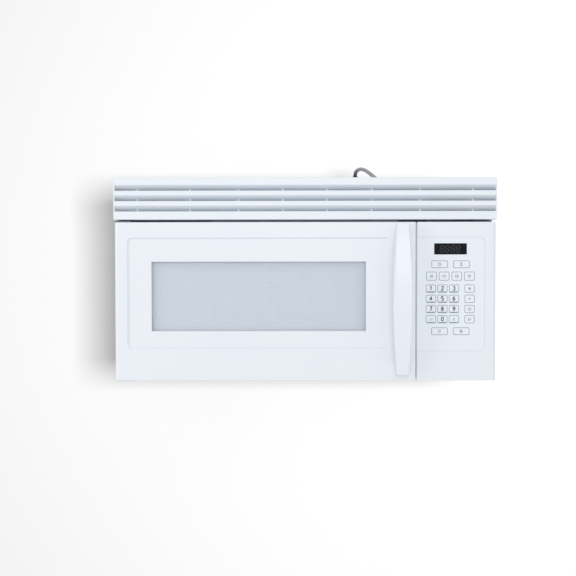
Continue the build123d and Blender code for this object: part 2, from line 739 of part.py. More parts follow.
# latch: one bar with two hooks, pushed down by a spring
bar_x = about(latch_x, 8.0)
bar_y = (y_land - loose - 10.0, y_land - loose)
hook_reach = 14.0  # behind the front plate
spring_radius = 3.4
with BuildPart() as latch_hooks:
    block(bar_x, bar_y, bar_z)
    for hook_z_low in hook_zs:
        hook_tip = y_cavity + hook_reach
        with BuildSketch(Plane.YZ.offset(latch_x - hook_width / 2)):
            with BuildLine():
                Polyline(
                    (bar_y[0] + 2, hook_z_low),
                    (y_cavity + 1.0, hook_z_low),
                    (y_cavity + 2.0, hook_z_low - barb_drop),
                    (hook_tip - 6, hook_z_low - barb_drop),
                    (hook_tip, hook_z_low + 1),
                    (hook_tip, hook_z_low + hook_height),
                    (bar_y[0] + 2, hook_z_low + hook_height),
                    close=True,
                )
            make_face()
        extrude(amount=hook_width)
latch_hooks.part.label = "latch_hooks"
export_step(latch_hooks.part, "parts/latch_hooks.step")

with BuildPart() as latch_spring:
    spring_middle = (latch_x, (bar_y[0] + bar_y[1]) / 2, (bar_z[1] + spring_top) / 2)
    drill(spring_middle, (0, 0, 1), spring_radius, spring_top - bar_z[1], Mode.ADD)
    drill(spring_middle, (0, 0, 1), spring_radius - 0.8, spring_top - bar_z[1])
latch_spring.part.label = "latch_spring"
export_step(latch_spring.part, "parts/latch_spring.step")

# ------------------------------------------------------------------ door hinges
leaf_y = (hinge_y - 8.0, y_cavity + bracket_thick)
leaf_wing = 32.0  # upright leaf behind the front plate
upper_leaf_z = (door_top + 0.7, door_top + 0.7 + bracket_thick)
lower_leaf_z = (0.0, bracket_thick)
wing_y = (y_cavity, y_cavity + bracket_thick)
with BuildPart() as hinge_bracket_upper:
    block(bracket_x, leaf_y, upper_leaf_z)
    block(bracket_x, wing_y, (upper_leaf_z[1] - leaf_wing, upper_leaf_z[1]))
    drill(
        (hinge_x, hinge_y, (door_top - pin_reach + upper_leaf_z[1]) / 2),
        (0, 0, 1),
        pin_radius,
        upper_leaf_z[1] - door_top + pin_reach,
        Mode.ADD,
    )
hinge_bracket_upper.part.label = "hinge_bracket_upper"
export_step(hinge_bracket_upper.part, "parts/hinge_bracket_upper.step")

with BuildPart() as hinge_bracket_lower:
    block(bracket_x, leaf_y, lower_leaf_z)
    block(bracket_x, wing_y, (0.0, leaf_wing))
    drill(
        (hinge_x, hinge_y, (door_foot + pin_reach) / 2),
        (0, 0, 1),
        pin_radius,
        door_foot + pin_reach,
        Mode.ADD,
    )
hinge_bracket_lower.part.label = "hinge_bracket_lower"
export_step(hinge_bracket_lower.part, "parts/hinge_bracket_lower.step")

# ------------------------------------------------------------------ door interlock
latch_board_y = (y_cavity, y_cavity + 5.0)
latch_board_x = (cavity_side + 3.0, latch_x + 24.0)
switch_size = (10.0, 24.0, 16.0)
switch_x = (latch_x + 9.0, latch_x + 9.0 + switch_size[0])
with BuildPart() as latch_board:
    block(latch_board_x, latch_board_y, (hook_zs[0] - 16.0, hook_zs[1] + 36.0))
    for hook_z_low in hook_zs:
        block(
            about(latch_x, 12.0),
            latch_board_y,
            (hook_z_low - barb_drop - 1.5, hook_z_low + hook_height + latch_lift + 1.5),
            Mode.SUBTRACT,
        )
        block(
            (latch_x + 7.0, latch_x + 9.0),
            (y_cavity, y_cavity + 24.0),
            about(hook_z_low + 3, 30.0),
        )
latch_board.part.label = "latch_board"
export_step(latch_board.part, "parts/latch_board.step")

switch_zs = (hook_zs[0] + 3.0, hook_zs[1] - 7.0, hook_zs[1] + 11.0)
with BuildPart() as interlock_switches:
    for z in switch_zs:
        switch_y = (latch_board_y[1], latch_board_y[1] + switch_size[1])
        block(switch_x, switch_y, about(z, switch_size[2]))
        for terminal in (-5.0, 0.0, 5.0):
            tab_y = (switch_y[1], switch_y[1] + 7.0)
            block(about(switch_x[0] + 5.0, 0.8), tab_y, about(z + terminal, 3.0))
interlock_switches.part.label = "interlock_switches"
export_step(interlock_switches.part, "parts/interlock_switches.step")

# ------------------------------------------------------------------ shelf and power parts
shelf_top = 38.0
shelf_lip = 22.0
shelf_x = (cavity_side, case_inner)
shelf_y = (y_cavity + 20.0, y_wall - 24.0)
with BuildPart() as component_shelf:
    with BuildSketch(facing(shelf_y[0])):
        panel_sketch(grow(shelf_x, 0.0), (shelf_top - sheet, shelf_top + shelf_lip))
        with Locations(((shelf_x[0] + shelf_x[1]) / 2, shelf_top + shelf_lip / 2)):
            Rectangle(shelf_x[1] - shelf_x[0] - 2 * sheet, shelf_lip, mode=Mode.SUBTRACT)
    extrude(amount=-(shelf_y[1] - shelf_y[0]))
component_shelf.part.label = "component_shelf"
export_step(component_shelf.part, "parts/component_shelf.step")

yoke_x = (cavity_side + guide_depth, cavity_side + guide_depth + 84.0)
yoke_height = 82.0
yoke_depth = 84.0
yoke_wall = 2.0
with BuildPart() as magnetron_yoke:
    with BuildSketch(facing(feed_y - yoke_depth / 2)):
        panel_sketch(yoke_x, about(feed_z, yoke_height))
        with Locations(((yoke_x[0] + yoke_x[1]) / 2, feed_z)):
            Rectangle(yoke_x[1] - yoke_x[0] - 2 * yoke_wall, yoke_height - 2 * yoke_wall, mode=Mode.SUBTRACT)
    extrude(amount=-yoke_depth)
    drill((yoke_x[0] + 1, feed_y, feed_z), (1, 0, 0), antenna_hole - 2.0, 4 * yoke_wall)
    block((yoke_x[1], yoke_x[1] + 24.0), about(feed_y, 60.0), about(feed_z, 44.0))  # filter box
magnetron_yoke.part.label = "magnetron_yoke"
export_step(magnetron_yoke.part, "parts/magnetron_yoke.step")

magnet_radius = 27.0
anode_radius = 20.0
magnet_length = 13.0
fin_count = 6
fin_thick = 1.0
core_x = grow(yoke_x, -yoke_wall)
fin_pitch = (core_x[1] - core_x[0] - 2 * magnet_length) / (fin_count + 1)
with BuildPart() as magnetron_core:
    with BuildSketch(Plane.XY.offset(feed_z)):
        with BuildLine():
            Polyline(
                (core_x[0] - 26.0, feed_y),
                (core_x[1], feed_y),
                (core_x[1], feed_y + magnet_radius),
                (core_x[1] - magnet_length, feed_y + magnet_radius),
                (core_x[1] - magnet_length, feed_y + anode_radius),
                (core_x[0] + magnet_length, feed_y + anode_radius),
                (core_x[0] + magnet_length, feed_y + magnet_radius),
                (core_x[0], feed_y + magnet_radius),
                (core_x[0], feed_y + 8.0),
                (core_x[0] - 20.0, feed_y + 8.0),
                (core_x[0] - 26.0, feed_y + 5.0),
                close=True,
            )
        make_face()
    revolve(axis=Axis((0, feed_y, feed_z), (1, 0, 0)))
    for fin in range(fin_count):
        fin_x = core_x[0] + magnet_length + fin_pitch * (fin + 1)
        block(about(fin_x, fin_thick), about(feed_y, yoke_depth - 10), about(feed_z, yoke_height - 2 * yoke_wall))
magnetron_core.part.label = "magnetron_core"
export_step(magnetron_core.part, "parts/magnetron_core.step")

# step-up transformer: laminated core, and two windings on its middle leg
core_size = (100.0, 60.0, 84.0)
leg = 32.0
window_opening = (18.0, 54.0)
transformer_x = case_inner - 69.5
transformer_y = y_cavity + 62.0
transformer_z = shelf_top + core_size[2] / 2
with BuildPart() as transformer_core:
    with BuildSketch(facing(transformer_y - core_size[1] / 2)):
        with Locations((transformer_x, transformer_z)):
            Rectangle(core_size[0], core_size[2])
        offset_x = (leg + window_opening[0]) / 2
        with Locations((transformer_x - offset_x, transformer_z), (transformer_x + offset_x, transformer_z)):
            Rectangle(*window_opening, mode=Mode.SUBTRACT)
    extrude(amount=-core_size[1])
transformer_core.part.label = "transformer_core"
export_step(transformer_core.part, "parts/transformer_core.step")

winding_out = window_opening[0] - loose
with BuildPart() as transformer_windings:
    for low, high in ((-window_opening[1] / 2, -3.0), (3.0, window_opening[1] / 2)):
        with BuildSketch(Plane.XY.offset(transformer_z + low)):
            with Locations((transformer_x, transformer_y)):
                RectangleRounded(leg + 2 * winding_out, core_size[1] + 2 * winding_out, 8.0)
                Rectangle(leg, core_size[1], mode=Mode.SUBTRACT)
        extrude(amount=high - low)
transformer_windings.part.label = "transformer_windings"
export_step(transformer_windings.part, "parts/transformer_windings.step")

can_size = (52.0, 32.0)
can_length = 92.0
can_x = cavity_side + 45.0
can_y = y_cavity + 60.0
with BuildPart() as hv_capacitor:
    with BuildSketch(Plane.XY.offset(shelf_top)):
        with Locations((can_x, can_y)):
            SlotOverall(*can_size)
    extrude(amount=can_length)
    for side in (-10.0, 10.0):
        block(about(can_x + side, 6.0), about(can_y, 0.8), (shelf_top + can_length, shelf_top + can_length + 10))
hv_capacitor.part.label = "hv_capacitor"
export_step(hv_capacitor.part, "parts/hv_capacitor.step")

# ------------------------------------------------------------------ cooling fan
fan_x = (cavity_side + case_inner) / 2
fan_z = shelf_top + 102.0
fan_radius = 50.0
shroud_x = about(fan_x, 150.0)
shroud_z = (shelf_top, shelf_top + 174.0)
y_shroud = y_wall - 52.0
ring_depth = 13.0
tip_gap = 2.0
motor_box = (50.0, 26.0, 46.0)
fan_shaft = 2.5
with BuildPart() as fan_shroud:
    block(shroud_x, (y_shroud, y_shroud + 1.5), shroud_z)
    drill((fan_x, y_shroud - ring_depth / 2, fan_z), (0, 1, 0), fan_radius + tip_gap + 1.5, ring_depth, Mode.ADD)
    drill((fan_x, y_shroud - ring_depth / 2, fan_z), (0, 1, 0), fan_radius + tip_gap, ring_depth + 6)
fan_shroud.part.label = "fan_shroud"
export_step(fan_shroud.part, "parts/fan_shroud.step")

y_motor = y_shroud + 1.5
with BuildPart() as fan_motor:
    block(about(fan_x, 2 * fan_radius + 24), (y_motor, y_motor + 3), about(fan_z, 16.0))
    block(
        about(fan_x, motor_box[0]),
        (y_motor + 3, y_motor + 3 + motor_box[1]),
        about(fan_z, motor_box[2]),
    )
    drill((fan_x, y_shroud - 3, fan_z), (0, 1, 0), fan_shaft, 20.0, Mode.ADD)
fan_motor.part.label = "fan_motor"
export_step(fan_motor.part, "parts/fan_motor.step")

hub_radius = 14.0
hub_y = (y_shroud - ring_depth, y_shroud - 2.0)
blade_count = 5
blade_root = (13.0, 38.0)  # chord and pitch in degrees
blade_tip = (30.0, 20.0)
with BuildPart() as cooling_fan:
    hub_middle = (fan_x, (hub_y[0] + hub_y[1]) / 2, fan_z)
    drill(hub_middle, (0, 1, 0), hub_radius, hub_y[1] - hub_y[0], Mode.ADD)
    for blade in range(blade_count):
        turn = radians(360 * blade / blade_count)
        outward = (cos(turn), 0, sin(turn))
        across = (-sin(turn), 0, cos(turn))
        for reach, (chord, pitch) in ((hub_radius - 2, blade_root), (fan_radius - 3, blade_tip)):
            root = (fan_x + outward[0] * reach, hub_middle[1], fan_z + outward[2] * reach)
            with BuildSketch(Plane(origin=root, x_dir=across, z_dir=outward)):
                Rectangle(chord, 1.6, rotation=pitch)
        loft()
    drill(hub_middle, (0, 1, 0), fan_shaft + running, 20.0)
cooling_fan.part.label = "cooling_fan"
export_step(cooling_fan.part, "parts/cooling_fan.step")

# ------------------------------------------------------------------ vent blower: two scroll housings, one motor
blower_y = y_wall - 72.0
blower_z = cavity_roof + 57.5
wheel_radius = 43.0
motor_half = 44.0
housing_width = case_inner - 245.5 - motor_half  # the rest is room for air to reach the inlets
wheel_width = housing_width - 14.0
housing_wall_thin = 1.5
inlet_radius = 36.0
scroll = (58.0, 56.5, 54.0, 50.0)  # from the roof, through the back and the floor, to the cut-off
outlet_front = y_wall - 150.0
outlet_floor = 6.0  # above the axis
shaft_radius = 4.0
blower_foot = blower_z - scroll[2] - cavity_roof


def scroll_outline(shrink):
    """Closed scroll outline in Y and Z, drawn inwards by shrink, with its outlet at the front."""
    roof, back, floor, cut_off = (reach - shrink for reach in scroll)
    mouth = outlet_front - shrink
    lip = blower_z + outlet_floor + shrink
    top = (blower_y, blower_z + roof)
    rear = (blower_y + back, blower_z)
    bottom = (blower_y, blower_z - floor)
    front = (blower_y - cut_off, blower_z)
    half = sqrt(0.5)
    rear_mid = (blower_y + half * (roof + back) / 2, blower_z + half * (roof + back) / 2)
    low_mid = (blower_y + half * (back + floor) / 2, blower_z - half * (back + floor) / 2)
    front_mid = (blower_y - half * (floor + cut_off) / 2, blower_z - half * (floor + cut_off) / 2)
    Line((mouth, blower_z + roof), top)
    ThreePointArc(top, rear_mid, rear)
    ThreePointArc(rear, low_mid, bottom)
    ThreePointArc(bottom, front_mid, front)
    Line(front, (blower_y - cut_off, lip))
    Line((blower_y - cut_off, lip), (mouth, lip))
    Line((mouth, lip), (mouth, blower_z + roof))


with BuildPart() as blower_housing_right:
    with BuildSketch(Plane.YZ.offset(motor_half)):
        with BuildLine():
            scroll_outline(0.0)
        make_face()
    extrude(amount=housing_width)
    with BuildSketch(Plane.YZ.offset(motor_half + housing_wall_thin)):
        with BuildLine():
            scroll_outline(housing_wall_thin)
        make_face()
    extrude(amount=housing_width - 2 * housing_wall_thin, mode=Mode.SUBTRACT)
    outer_face = motor_half + housing_width
    drill((outer_face, blower_y, blower_z), (1, 0, 0), inlet_radius, 4 * housing_wall_thin)
    drill((motor_half, blower_y, blower_z), (1, 0, 0), shaft_radius + 4.0, 4 * housing_wall_thin)
    block(
        (motor_half + 20, outer_face - 20),
        about(blower_y, 50.0),
        (cavity_roof, cavity_roof + blower_foot + 8.0),
    )
    drill(
        (motor_half + housing_width / 2, blower_y, blower_z),
        (1, 0, 0),
        wheel_radius + 4.0,
        housing_width - 2 * housing_wall_thin,
    )
blower_housing_right.part.label = "blower_housing_right"
export_step(blower_housing_right.part, "parts/blower_housing_right.step")

with BuildPart() as blower_housing_left:
    mirror(blower_housing_right.part, about=Plane.YZ)
blower_housing_left.part.label = "blower_housing_left"
export_step(blower_housing_left.part, "parts/blower_housing_left.step")

can_radius = 38.0
with BuildPart() as blower_motor:
    with BuildSketch(Plane.XY.offset(blower_z)):
        with BuildLine():
            Polyline(
                (-motor_half, blower_y + shaft_radius + running),
                (motor_half, blower_y + shaft_radius + running),
                (motor_half, blower_y + 12.0),
                (motor_half - 10, blower_y + can_radius - 6),
                (motor_half - 16, blower_y + can_radius),
                (-motor_half + 16, blower_y + can_radius),
                (-motor_half + 10, blower_y + can_radius - 6),
                (-motor_half, blower_y + 12.0),
                close=True,
            )
        make_face()
    revolve(axis=Axis((0, blower_y, blower_z), (1, 0, 0)))
    block((-20, 20), about(blower_y, 44.0), (cavity_roof, blower_z - can_radius + 5))
blower_motor.part.label = "blower_motor"
export_step(blower_motor.part, "parts/blower_motor.step")

# forward-curved wheels on one shaft
wheel_blades = 20
blade_inner = 35.0
wheel_plate = 1.5
wheel_start = motor_half + (housing_width - wheel_width) / 2
blade_crown = wheel_radius - 0.7
blade_shape = [  # curved from the inner edge out to the crown, and back
    (blade_inner, 0.0),
    (blade_inner + 5.2, 0.7),
    (blade_crown, 3.4),
    (blade_crown - 0.9, 4.3),
    (blade_inner + 4.6, 1.9),
    (blade_inner, 1.3),
]
with BuildPart() as blower_wheels:
    drill((0, blower_y, blower_z), (1, 0, 0), shaft_radius, 2 * (wheel_start + 26), Mode.ADD)
    for side in (-1, 1):
        hub_end = wheel_start + 24.0
        near = side * wheel_start
        with BuildSketch(Plane.YZ.offset(near)):
            with Locations((blower_y, blower_z)):
                Circle(wheel_radius)
        extrude(amount=side * wheel_plate)
        drill((side * (wheel_start + 12), blower_y, blower_z), (1, 0, 0), 9.0, 24.0, Mode.ADD)
        with BuildSketch(Plane.YZ.offset(side * (wheel_start + wheel_width))):
            with Locations((blower_y, blower_z)):
                Circle(wheel_radius)
                Circle(blade_inner + 2, mode=Mode.SUBTRACT)
        extrude(amount=-side * 2.5)
        hub = Plane(origin=(near, blower_y, blower_z), x_dir=(0, 1, 0), z_dir=(1, 0, 0))
        with BuildSketch(hub):
            for blade in range(wheel_blades):
                turned = [Vector(*corner).rotate(Axis.Z, 360 * blade / wheel_blades) for corner in blade_shape]
                with BuildLine():
                    Polyline(*turned, close=True)
                make_face()
        extrude(amount=side * wheel_width)
blower_wheels.part.label = "blower_wheels"
export_step(blower_wheels.part, "parts/blower_wheels.step")

# ------------------------------------------------------------------ turntable
tray_radius = 150.0
roller_axis_z = cavity_z[0] + 8.0
roller_radius = 8.0 - loose
roller_orbit = 94.0
roller_length = 12.0
axle_radius = 2.0
tray_under = cavity_z[0] + 16.0
tray_glass = 5.0
tray_rim = 14.0
motor_can = 25.0
motor_drop = 18.0
drive_radius = 3.5
with BuildPart() as turntable_motor:
    motor_z = (cavity_under - motor_drop, cavity_under)
    with BuildSketch(Plane.XY.offset(motor_z[0])):
        with Locations((cavity_mid, y_cavity_mid)):
            Circle(motor_can)
            SlotOverall(2 * motor_can + 22, 12.0)
    extrude(amount=motor_drop)
    drill((cavity_mid, y_cavity_mid, cavity_under), (0, 0, 1), drive_radius + running, 28.0)
turntable_motor.part.label = "turntable_motor"
export_step(turntable_motor.part, "parts/turntable_motor.step")

coupler_hub = 11.0
lobe_reach = 24.0
lobe_width = 8.0
lobe_z = (cavity_z[0] + 8.0, tray_under - 1.0)
with BuildPart() as turntable_coupler:
    drive_z = (cavity_under - 12.0, cavity_z[0] + 2.0)
    drive_middle = (cavity_mid, y_cavity_mid, (drive_z[0] + drive_z[1]) / 2)
    drill(drive_middle, (0, 0, 1), drive_radius, drive_z[1] - drive_z[0], Mode.ADD)
    hub_middle = (cavity_mid, y_cavity_mid, (cavity_z[0] + loose + lobe_z[1]) / 2)
    drill(hub_middle, (0, 0, 1), coupler_hub, lobe_z[1] - cavity_z[0] - loose, Mode.ADD)
    with BuildSketch(Plane.XY.offset(lobe_z[0])):
        with Locations((cavity_mid, y_cavity_mid)):
            with PolarLocations(lobe_reach / 2, 3):
                SlotOverall(lobe_reach, lobe_width)
    extrude(amount=lobe_z[1] - lobe_z[0])
turntable_coupler.part.label = "turntable_coupler"
export_step(turntable_coupler.part, "parts/turntable_coupler.step")

lug_orbit = 19.0
with BuildPart() as turntable_tray:
    with BuildSketch(Plane.XZ.offset(-y_cavity_mid)):
        with BuildLine():
            Polyline(
                (cavity_mid, tray_under),
                (cavity_mid + 118.0, tray_under),
                (cavity_mid + 132.0, tray_under + 2.0),
                (cavity_mid + tray_radius - 3.0, tray_under + tray_rim - 2.0),
                (cavity_mid + tray_radius, tray_under + tray_rim - 1.0),
                (cavity_mid + tray_radius, tray_under + tray_rim + 1.5),
                (cavity_mid + tray_radius - 5.0, tray_under + tray_rim + 1.5),
                (cavity_mid + 129.0, tray_under + tray_glass + 2.5),
                (cavity_mid + 118.0, tray_under + tray_glass),
                (cavity_mid, tray_under + tray_glass),
                close=True,
            )
        make_face()
    revolve(axis=Axis((cavity_mid, y_cavity_mid, 0), (0, 0, 1)))
    with BuildSketch(Plane.XY.offset(tray_under - 4.0)):
        with Locations((cavity_mid, y_cavity_mid)):
            with PolarLocations(lug_orbit, 3, start_angle=60):
                Circle(4.0)
    extrude(amount=4.0)
turntable_tray.part.label = "turntable_tray"
export_step(turntable_tray.part, "parts/turntable_tray.step")

ring_radii = (72.0, 84.0)
ring_half_height = 3.5
axle_end = roller_orbit + roller_length / 2 + loose
with BuildPart() as roller_ring:
    with BuildSketch(Plane.XY.offset(roller_axis_z - ring_half_height)):
        with Locations((cavity_mid, y_cavity_mid)):
            Circle(ring_radii[1])
            Circle(ring_radii[0], mode=Mode.SUBTRACT)
    extrude(amount=2 * ring_half_height)
    for arm in range(3):
        turn = radians(120 * arm)
        outward = (cos(turn), sin(turn), 0)

        def along_arm(reach):
            return (cavity_mid + outward[0] * reach, y_cavity_mid + outward[1] * reach, roller_axis_z)

        shoulder = roller_orbit - roller_length / 2 - loose
        drill(along_arm((ring_radii[1] - 4 + shoulder) / 2), outward, 3.5, shoulder - ring_radii[1] + 4, Mode.ADD)
        drill(along_arm((80.0 + axle_end) / 2), outward, axle_radius, axle_end - 80.0, Mode.ADD)
        drill(along_arm(axle_end + 0.75), outward, axle_radius + 1.2, 1.5, Mode.ADD)
roller_ring.part.label = "roller_ring"
export_step(roller_ring.part, "parts/roller_ring.step")

for arm in range(3):
    turn = radians(120 * arm)
    outward = (cos(turn), sin(turn), 0)
    seat = (
        cavity_mid + outward[0] * roller_orbit,
        y_cavity_mid + outward[1] * roller_orbit,
        roller_axis_z,
    )
    with BuildPart() as roller:
        drill(seat, outward, roller_radius, roller_length, Mode.ADD)
        fillet(roller.edges(), 0.8)
        drill(seat, outward, axle_radius + running, 2 * roller_length)
    name = f"roller_{arm + 1}"
    roller.part.label = name
    export_step(roller.part, f"parts/{name}.step")

# ------------------------------------------------------------------ lamps and small electrics
bulb_radius = 11.0
bulb_middle = 23.0  # from the holder
neck_radius = 7.0
neck_end = bulb_middle - sqrt(bulb_radius**2 - neck_radius**2)
holder_thick = 3.0


lamp_holder = 30.0
hood_lamp_z = 20.0
hood_lamp_x = lens_length / 2 + 2.0
hood_lamp_y = lens_rear - lip_gap - lens_width / 2
hood_holder = (2 * (hood_lamp_z - sheet), lamp_holder)
lamps = [  # middle of the holder's face, where the bulb points, across the holder, holder's size
    ((cavity_side + 14.0, lamp_y + 20.0, lamp_z), (0, -1, 0), (1, 0, 0), (28.0, lamp_holder)),
    ((-hood_lamp_x, hood_lamp_y, hood_lamp_z), (1, 0, 0), (0, 0, 1), hood_holder),
    ((hood_lamp_x, hood_lamp_y, hood_lamp_z), (-1, 0, 0), (0, 0, 1), hood_holder),
]
with BuildPart() as lamp_bulbs:
    for seat, pointing, across, holder_size in lamps:
        with BuildSketch(Plane(origin=seat, x_dir=across, z_dir=pointing)):
            Rectangle(*holder_size)
        extrude(amount=-holder_thick)
        with BuildSketch(Plane(origin=seat, x_dir=pointing, z_dir=across)):
            with BuildLine():
                Line((-holder_thick, 0), (-holder_thick, neck_radius))
                Line((-holder_thick, neck_radius), (neck_end, neck_radius))
                ThreePointArc((neck_end, neck_radius), (bulb_middle, bulb_radius), (bulb_middle + bulb_radius, 0))
                Line((bulb_middle + bulb_radius, 0), (-holder_thick, 0))
            make_face()
        revolve(axis=Axis(seat, pointing))
lamp_bulbs.part.label = "lamp_bulbs"
export_step(lamp_bulbs.part, "parts/lamp_bulbs.step")

with BuildPart() as line_filter_board:
    filter_board_x = (case_inner - 177.5, case_inner - 77.5)
    filter_board_z = (case_top - 103.0, case_top - 31.0)
    y_filter_board = y_wall - sheet - 9.0
    block(filter_board_x, (y_filter_board - board_thick, y_filter_board), filter_board_z)
    for x in grow(filter_board_x, -6.0):
        for z in grow(filter_board_z, -6.0):
            drill((x, y_filter_board + 4.5, z), (0, 1, 0), 3.0, 9.0, Mode.ADD)
    y_parts = y_filter_board - board_thick
    choke_middle = ((filter_board_x[0] + filter_board_x[1]) / 2, y_parts - 7, (filter_board_z[0] + filter_board_z[1]) / 2)
    drill(choke_middle, (0, 1, 0), 17.0, 14.0, Mode.ADD)
    drill(choke_middle, (0, 1, 0), 8.0, 13.0)
    block(about(filter_board_x[0] + 14, 16), (y_parts - 16, y_parts), about(choke_middle[2], 36))
line_filter_board.part.label = "line_filter_board"
export_step(line_filter_board.part, "parts/line_filter_board.step")

with BuildPart() as cavity_thermostat:
    thermostat = (cavity_mid, y_cavity_mid)
    with BuildSketch(Plane.XY.offset(cavity_roof)):
        with Locations(thermostat):
            SlotOverall(34.0, 12.0)
    extrude(amount=1.0)
    with BuildSketch(Plane.XY.offset(cavity_roof)):
        with Locations(thermostat):
            Circle(8.0)
    extrude(amount=10.0)
cavity_thermostat.part.label = "cavity_thermostat"
export_step(cavity_thermostat.part, "parts/cavity_thermostat.step")

# ------------------------------------------------------------------ covers that swing down from the base
cover_foot = 0.3  # lower face, above the base's lower face
tab_reach = 6.0
tab_gap = 0.3  # tab above the sheet
tab_sheet = 1.0


def hanging_tabs(middle, length, rear):
    """Three tabs that lie on the base behind the opening's rear lip."""
    for tab_x in (-length * 0.36, 0.0, length * 0.36):
        block(
            about(middle + tab_x, 14.0),
            (rear - lip_gap - 3.0, rear + tab_reach),
            (sheet + tab_gap, sheet + tab_gap + tab_sheet),
        )


mesh_columns = 10
mesh_rows = 4
mesh_bar = 2.4
mesh_depth = 2.2
filter_rim = 9.0
for side, name in ((-1, "grease_filter_left"), (1, "grease_filter_right")):
    middle_x = side * filter_x
    span_x = about(middle_x, filter_length)
    span_y = (filter_rear - lip_gap - filter_width, filter_rear - lip_gap)
    with BuildPart() as grease_filter:
        block(span_x, span_y, (cover_foot, cover_foot + filter_thickness))
        open_x = grow(span_x, -filter_rim)
        open_y = grow(span_y, -filter_rim)
        mesh_z = cover_foot + (filter_thickness - mesh_depth) / 2
        block(open_x, open_y, (cover_foot, mesh_z), Mode.SUBTRACT)
        block(open_x, open_y, (mesh_z + mesh_depth, cover_foot + filter_thickness), Mode.SUBTRACT)
        pitch_x = (open_x[1] - open_x[0] + mesh_bar) / mesh_columns
        pitch_y = (open_y[1] - open_y[0] + mesh_bar) / mesh_rows
        with BuildSketch(Plane.XY.offset(mesh_z)):
            with Locations((middle_x, (span_y[0] + span_y[1]) / 2)):
                with GridLocations(pitch_x, pitch_y, mesh_columns, mesh_rows):
                    Rectangle(pitch_x - mesh_bar, pitch_y - mesh_bar)
        extrude(amount=mesh_depth, mode=Mode.SUBTRACT)
        hanging_tabs(middle_x, filter_length, filter_rear)
    grease_filter.part.label = name
    export_step(grease_filter.part, f"parts/{name}.step")

with BuildPart() as lamp_cover:
    lens_y = (lens_rear - lip_gap - lens_width, lens_rear - lip_gap)
    block(about(0, lens_length), lens_y, (cover_foot, cover_foot + 3.0))
    block(grow(about(0, lens_length), -6), grow(lens_y, -6), (cover_foot + 1.6, cover_foot + 3.0), Mode.SUBTRACT)
    hanging_tabs(0.0, lens_length, lens_rear)
lamp_cover.part.label = "lamp_cover"
export_step(lamp_cover.part, "parts/lamp_cover.step")

# ------------------------------------------------------------------ power cord
cord_radius = 4.0
relief_height = 25.0
with BuildPart() as strain_relief:
    with BuildSketch(Plane.XZ.offset(-cord_y)):
        with BuildLine():
            Polyline(
                (cord_x, case_top - 6.0),
                (cord_x + cord_hole - 2.0, case_top - 6.0),
                (cord_x + cord_hole + 1.5, case_top - sheet - 2.0),
                (cord_x + cord_hole + 1.5, case_top - sheet - running),
                (cord_x + cord_hole - running, case_top - sheet - running),
                (cord_x + cord_hole - running, case_top),
                (cord_x + cord_hole + 4.0, case_top),
                (cord_x + cord_hole + 4.0, case_top + 2.5),
                (cord_x + 8.5, case_top + 4.0),
                (cord_x + 4.7, case_top + relief_height),
                (cord_x, case_top + relief_height),
                close=True,
            )
        make_face()
    revolve(axis=Axis((cord_x, cord_y, 0), (0, 0, 1)))
strain_relief.part.label = "strain_relief"
export_step(strain_relief.part, "parts/strain_relief.step")

# coil: three turns in two layers, spiralling in, climbing, and out again
coil_turns = 3.0
coil_pitch = 2 * cord_radius + 0.6
coil_outer = 46.5
tie_width = 6.0
tie_sheet = 0.9
tie_gap = 0.35
coil_lift = tie_sheet + tie_gap  # the tie passes under the turns
lead = 2 * cord_radius  # straight at the start
tail = 10.0  # straight at the end
tail_fall = 22.0  # then down to the plug, clear of the first turn
plug_width = 27.6
plug_thick = 21.0
coil_z = case_top + coil_lift + cord_radius
coil_x = cord_x + 106.0
coil_y = cord_y + coil_outer
coil_inner = coil_outer - coil_pitch * coil_turns / 2
climb = 0.5  # turns over which it climbs


def coil_node(turns):
    """Place and direction of the cord's middle after this many turns of the coil."""
    angle = 2 * pi * turns - pi / 2
    past = turns - coil_turns / 2
    reach = coil_inner + coil_pitch * abs(past)
    rise = min(max(past / climb + 0.5, 0.0), 1.0)
    place = Vector(coil_x + reach * cos(angle), coil_y + reach * sin(angle), coil_z + coil_pitch * rise)
    ends = min(turns, coil_turns - turns) < 0.01
    steady = 0.0 if ends or abs(past) < 0.01 else coil_pitch / (2 * pi) * (1 if past > 0 else -1)
    lift = coil_pitch / climb / (2 * pi) if abs(past) < 0.01 else 0.0
    heading = Vector(
        -reach * sin(angle) + steady * cos(angle),
        reach * cos(angle) + steady * sin(angle),
        lift,
    )
    return place, heading.normalized()


def biarc(start, leaving, end, arriving):
    """Two arcs that leave start in one direction and reach end in the other."""
    span = end - start
    lean = span.dot(leaving + arriving)
    bend = 2 * (1 - leaving.dot(arriving))
    reach = (sqrt(lean**2 + bend * span.dot(span)) - lean) / bend
    middle = (start + end + (leaving - arriving) * reach) * 0.5
    first = TangentArc(start, middle, tangent=leaving)
    TangentArc(middle, end, tangent=first % 1)


with BuildPart() as cord_coil:
    with BuildLine() as coil_path:
        node, heading = coil_node(0.0)
        Line(node - heading * lead, node)
        for quarter in range(int(4 * coil_turns)):
            following, next_heading = coil_node((quarter + 1) / 4)
            biarc(node, heading, following, next_heading)
            node, heading = following, next_heading
        Line(node, node + heading * tail)
        fall_start = node + heading * tail
        tail_end = Vector(fall_start.X + tail_fall, fall_start.Y, case_top + plug_thick / 2)
        fall_middle = (fall_start + tail_end) * 0.5
        falling = TangentArc(fall_start, fall_middle, tangent=heading)
        TangentArc(fall_middle, tail_end, tangent=falling % 1)
    with BuildSketch(Plane(origin=coil_path.line @ 0, z_dir=coil_path.line % 0)):
        Circle(cord_radius)
    sweep(path=coil_path.line)
cord_coil.part.label = "cord_coil"
export_step(cord_coil.part, "parts/cord_coil.step")

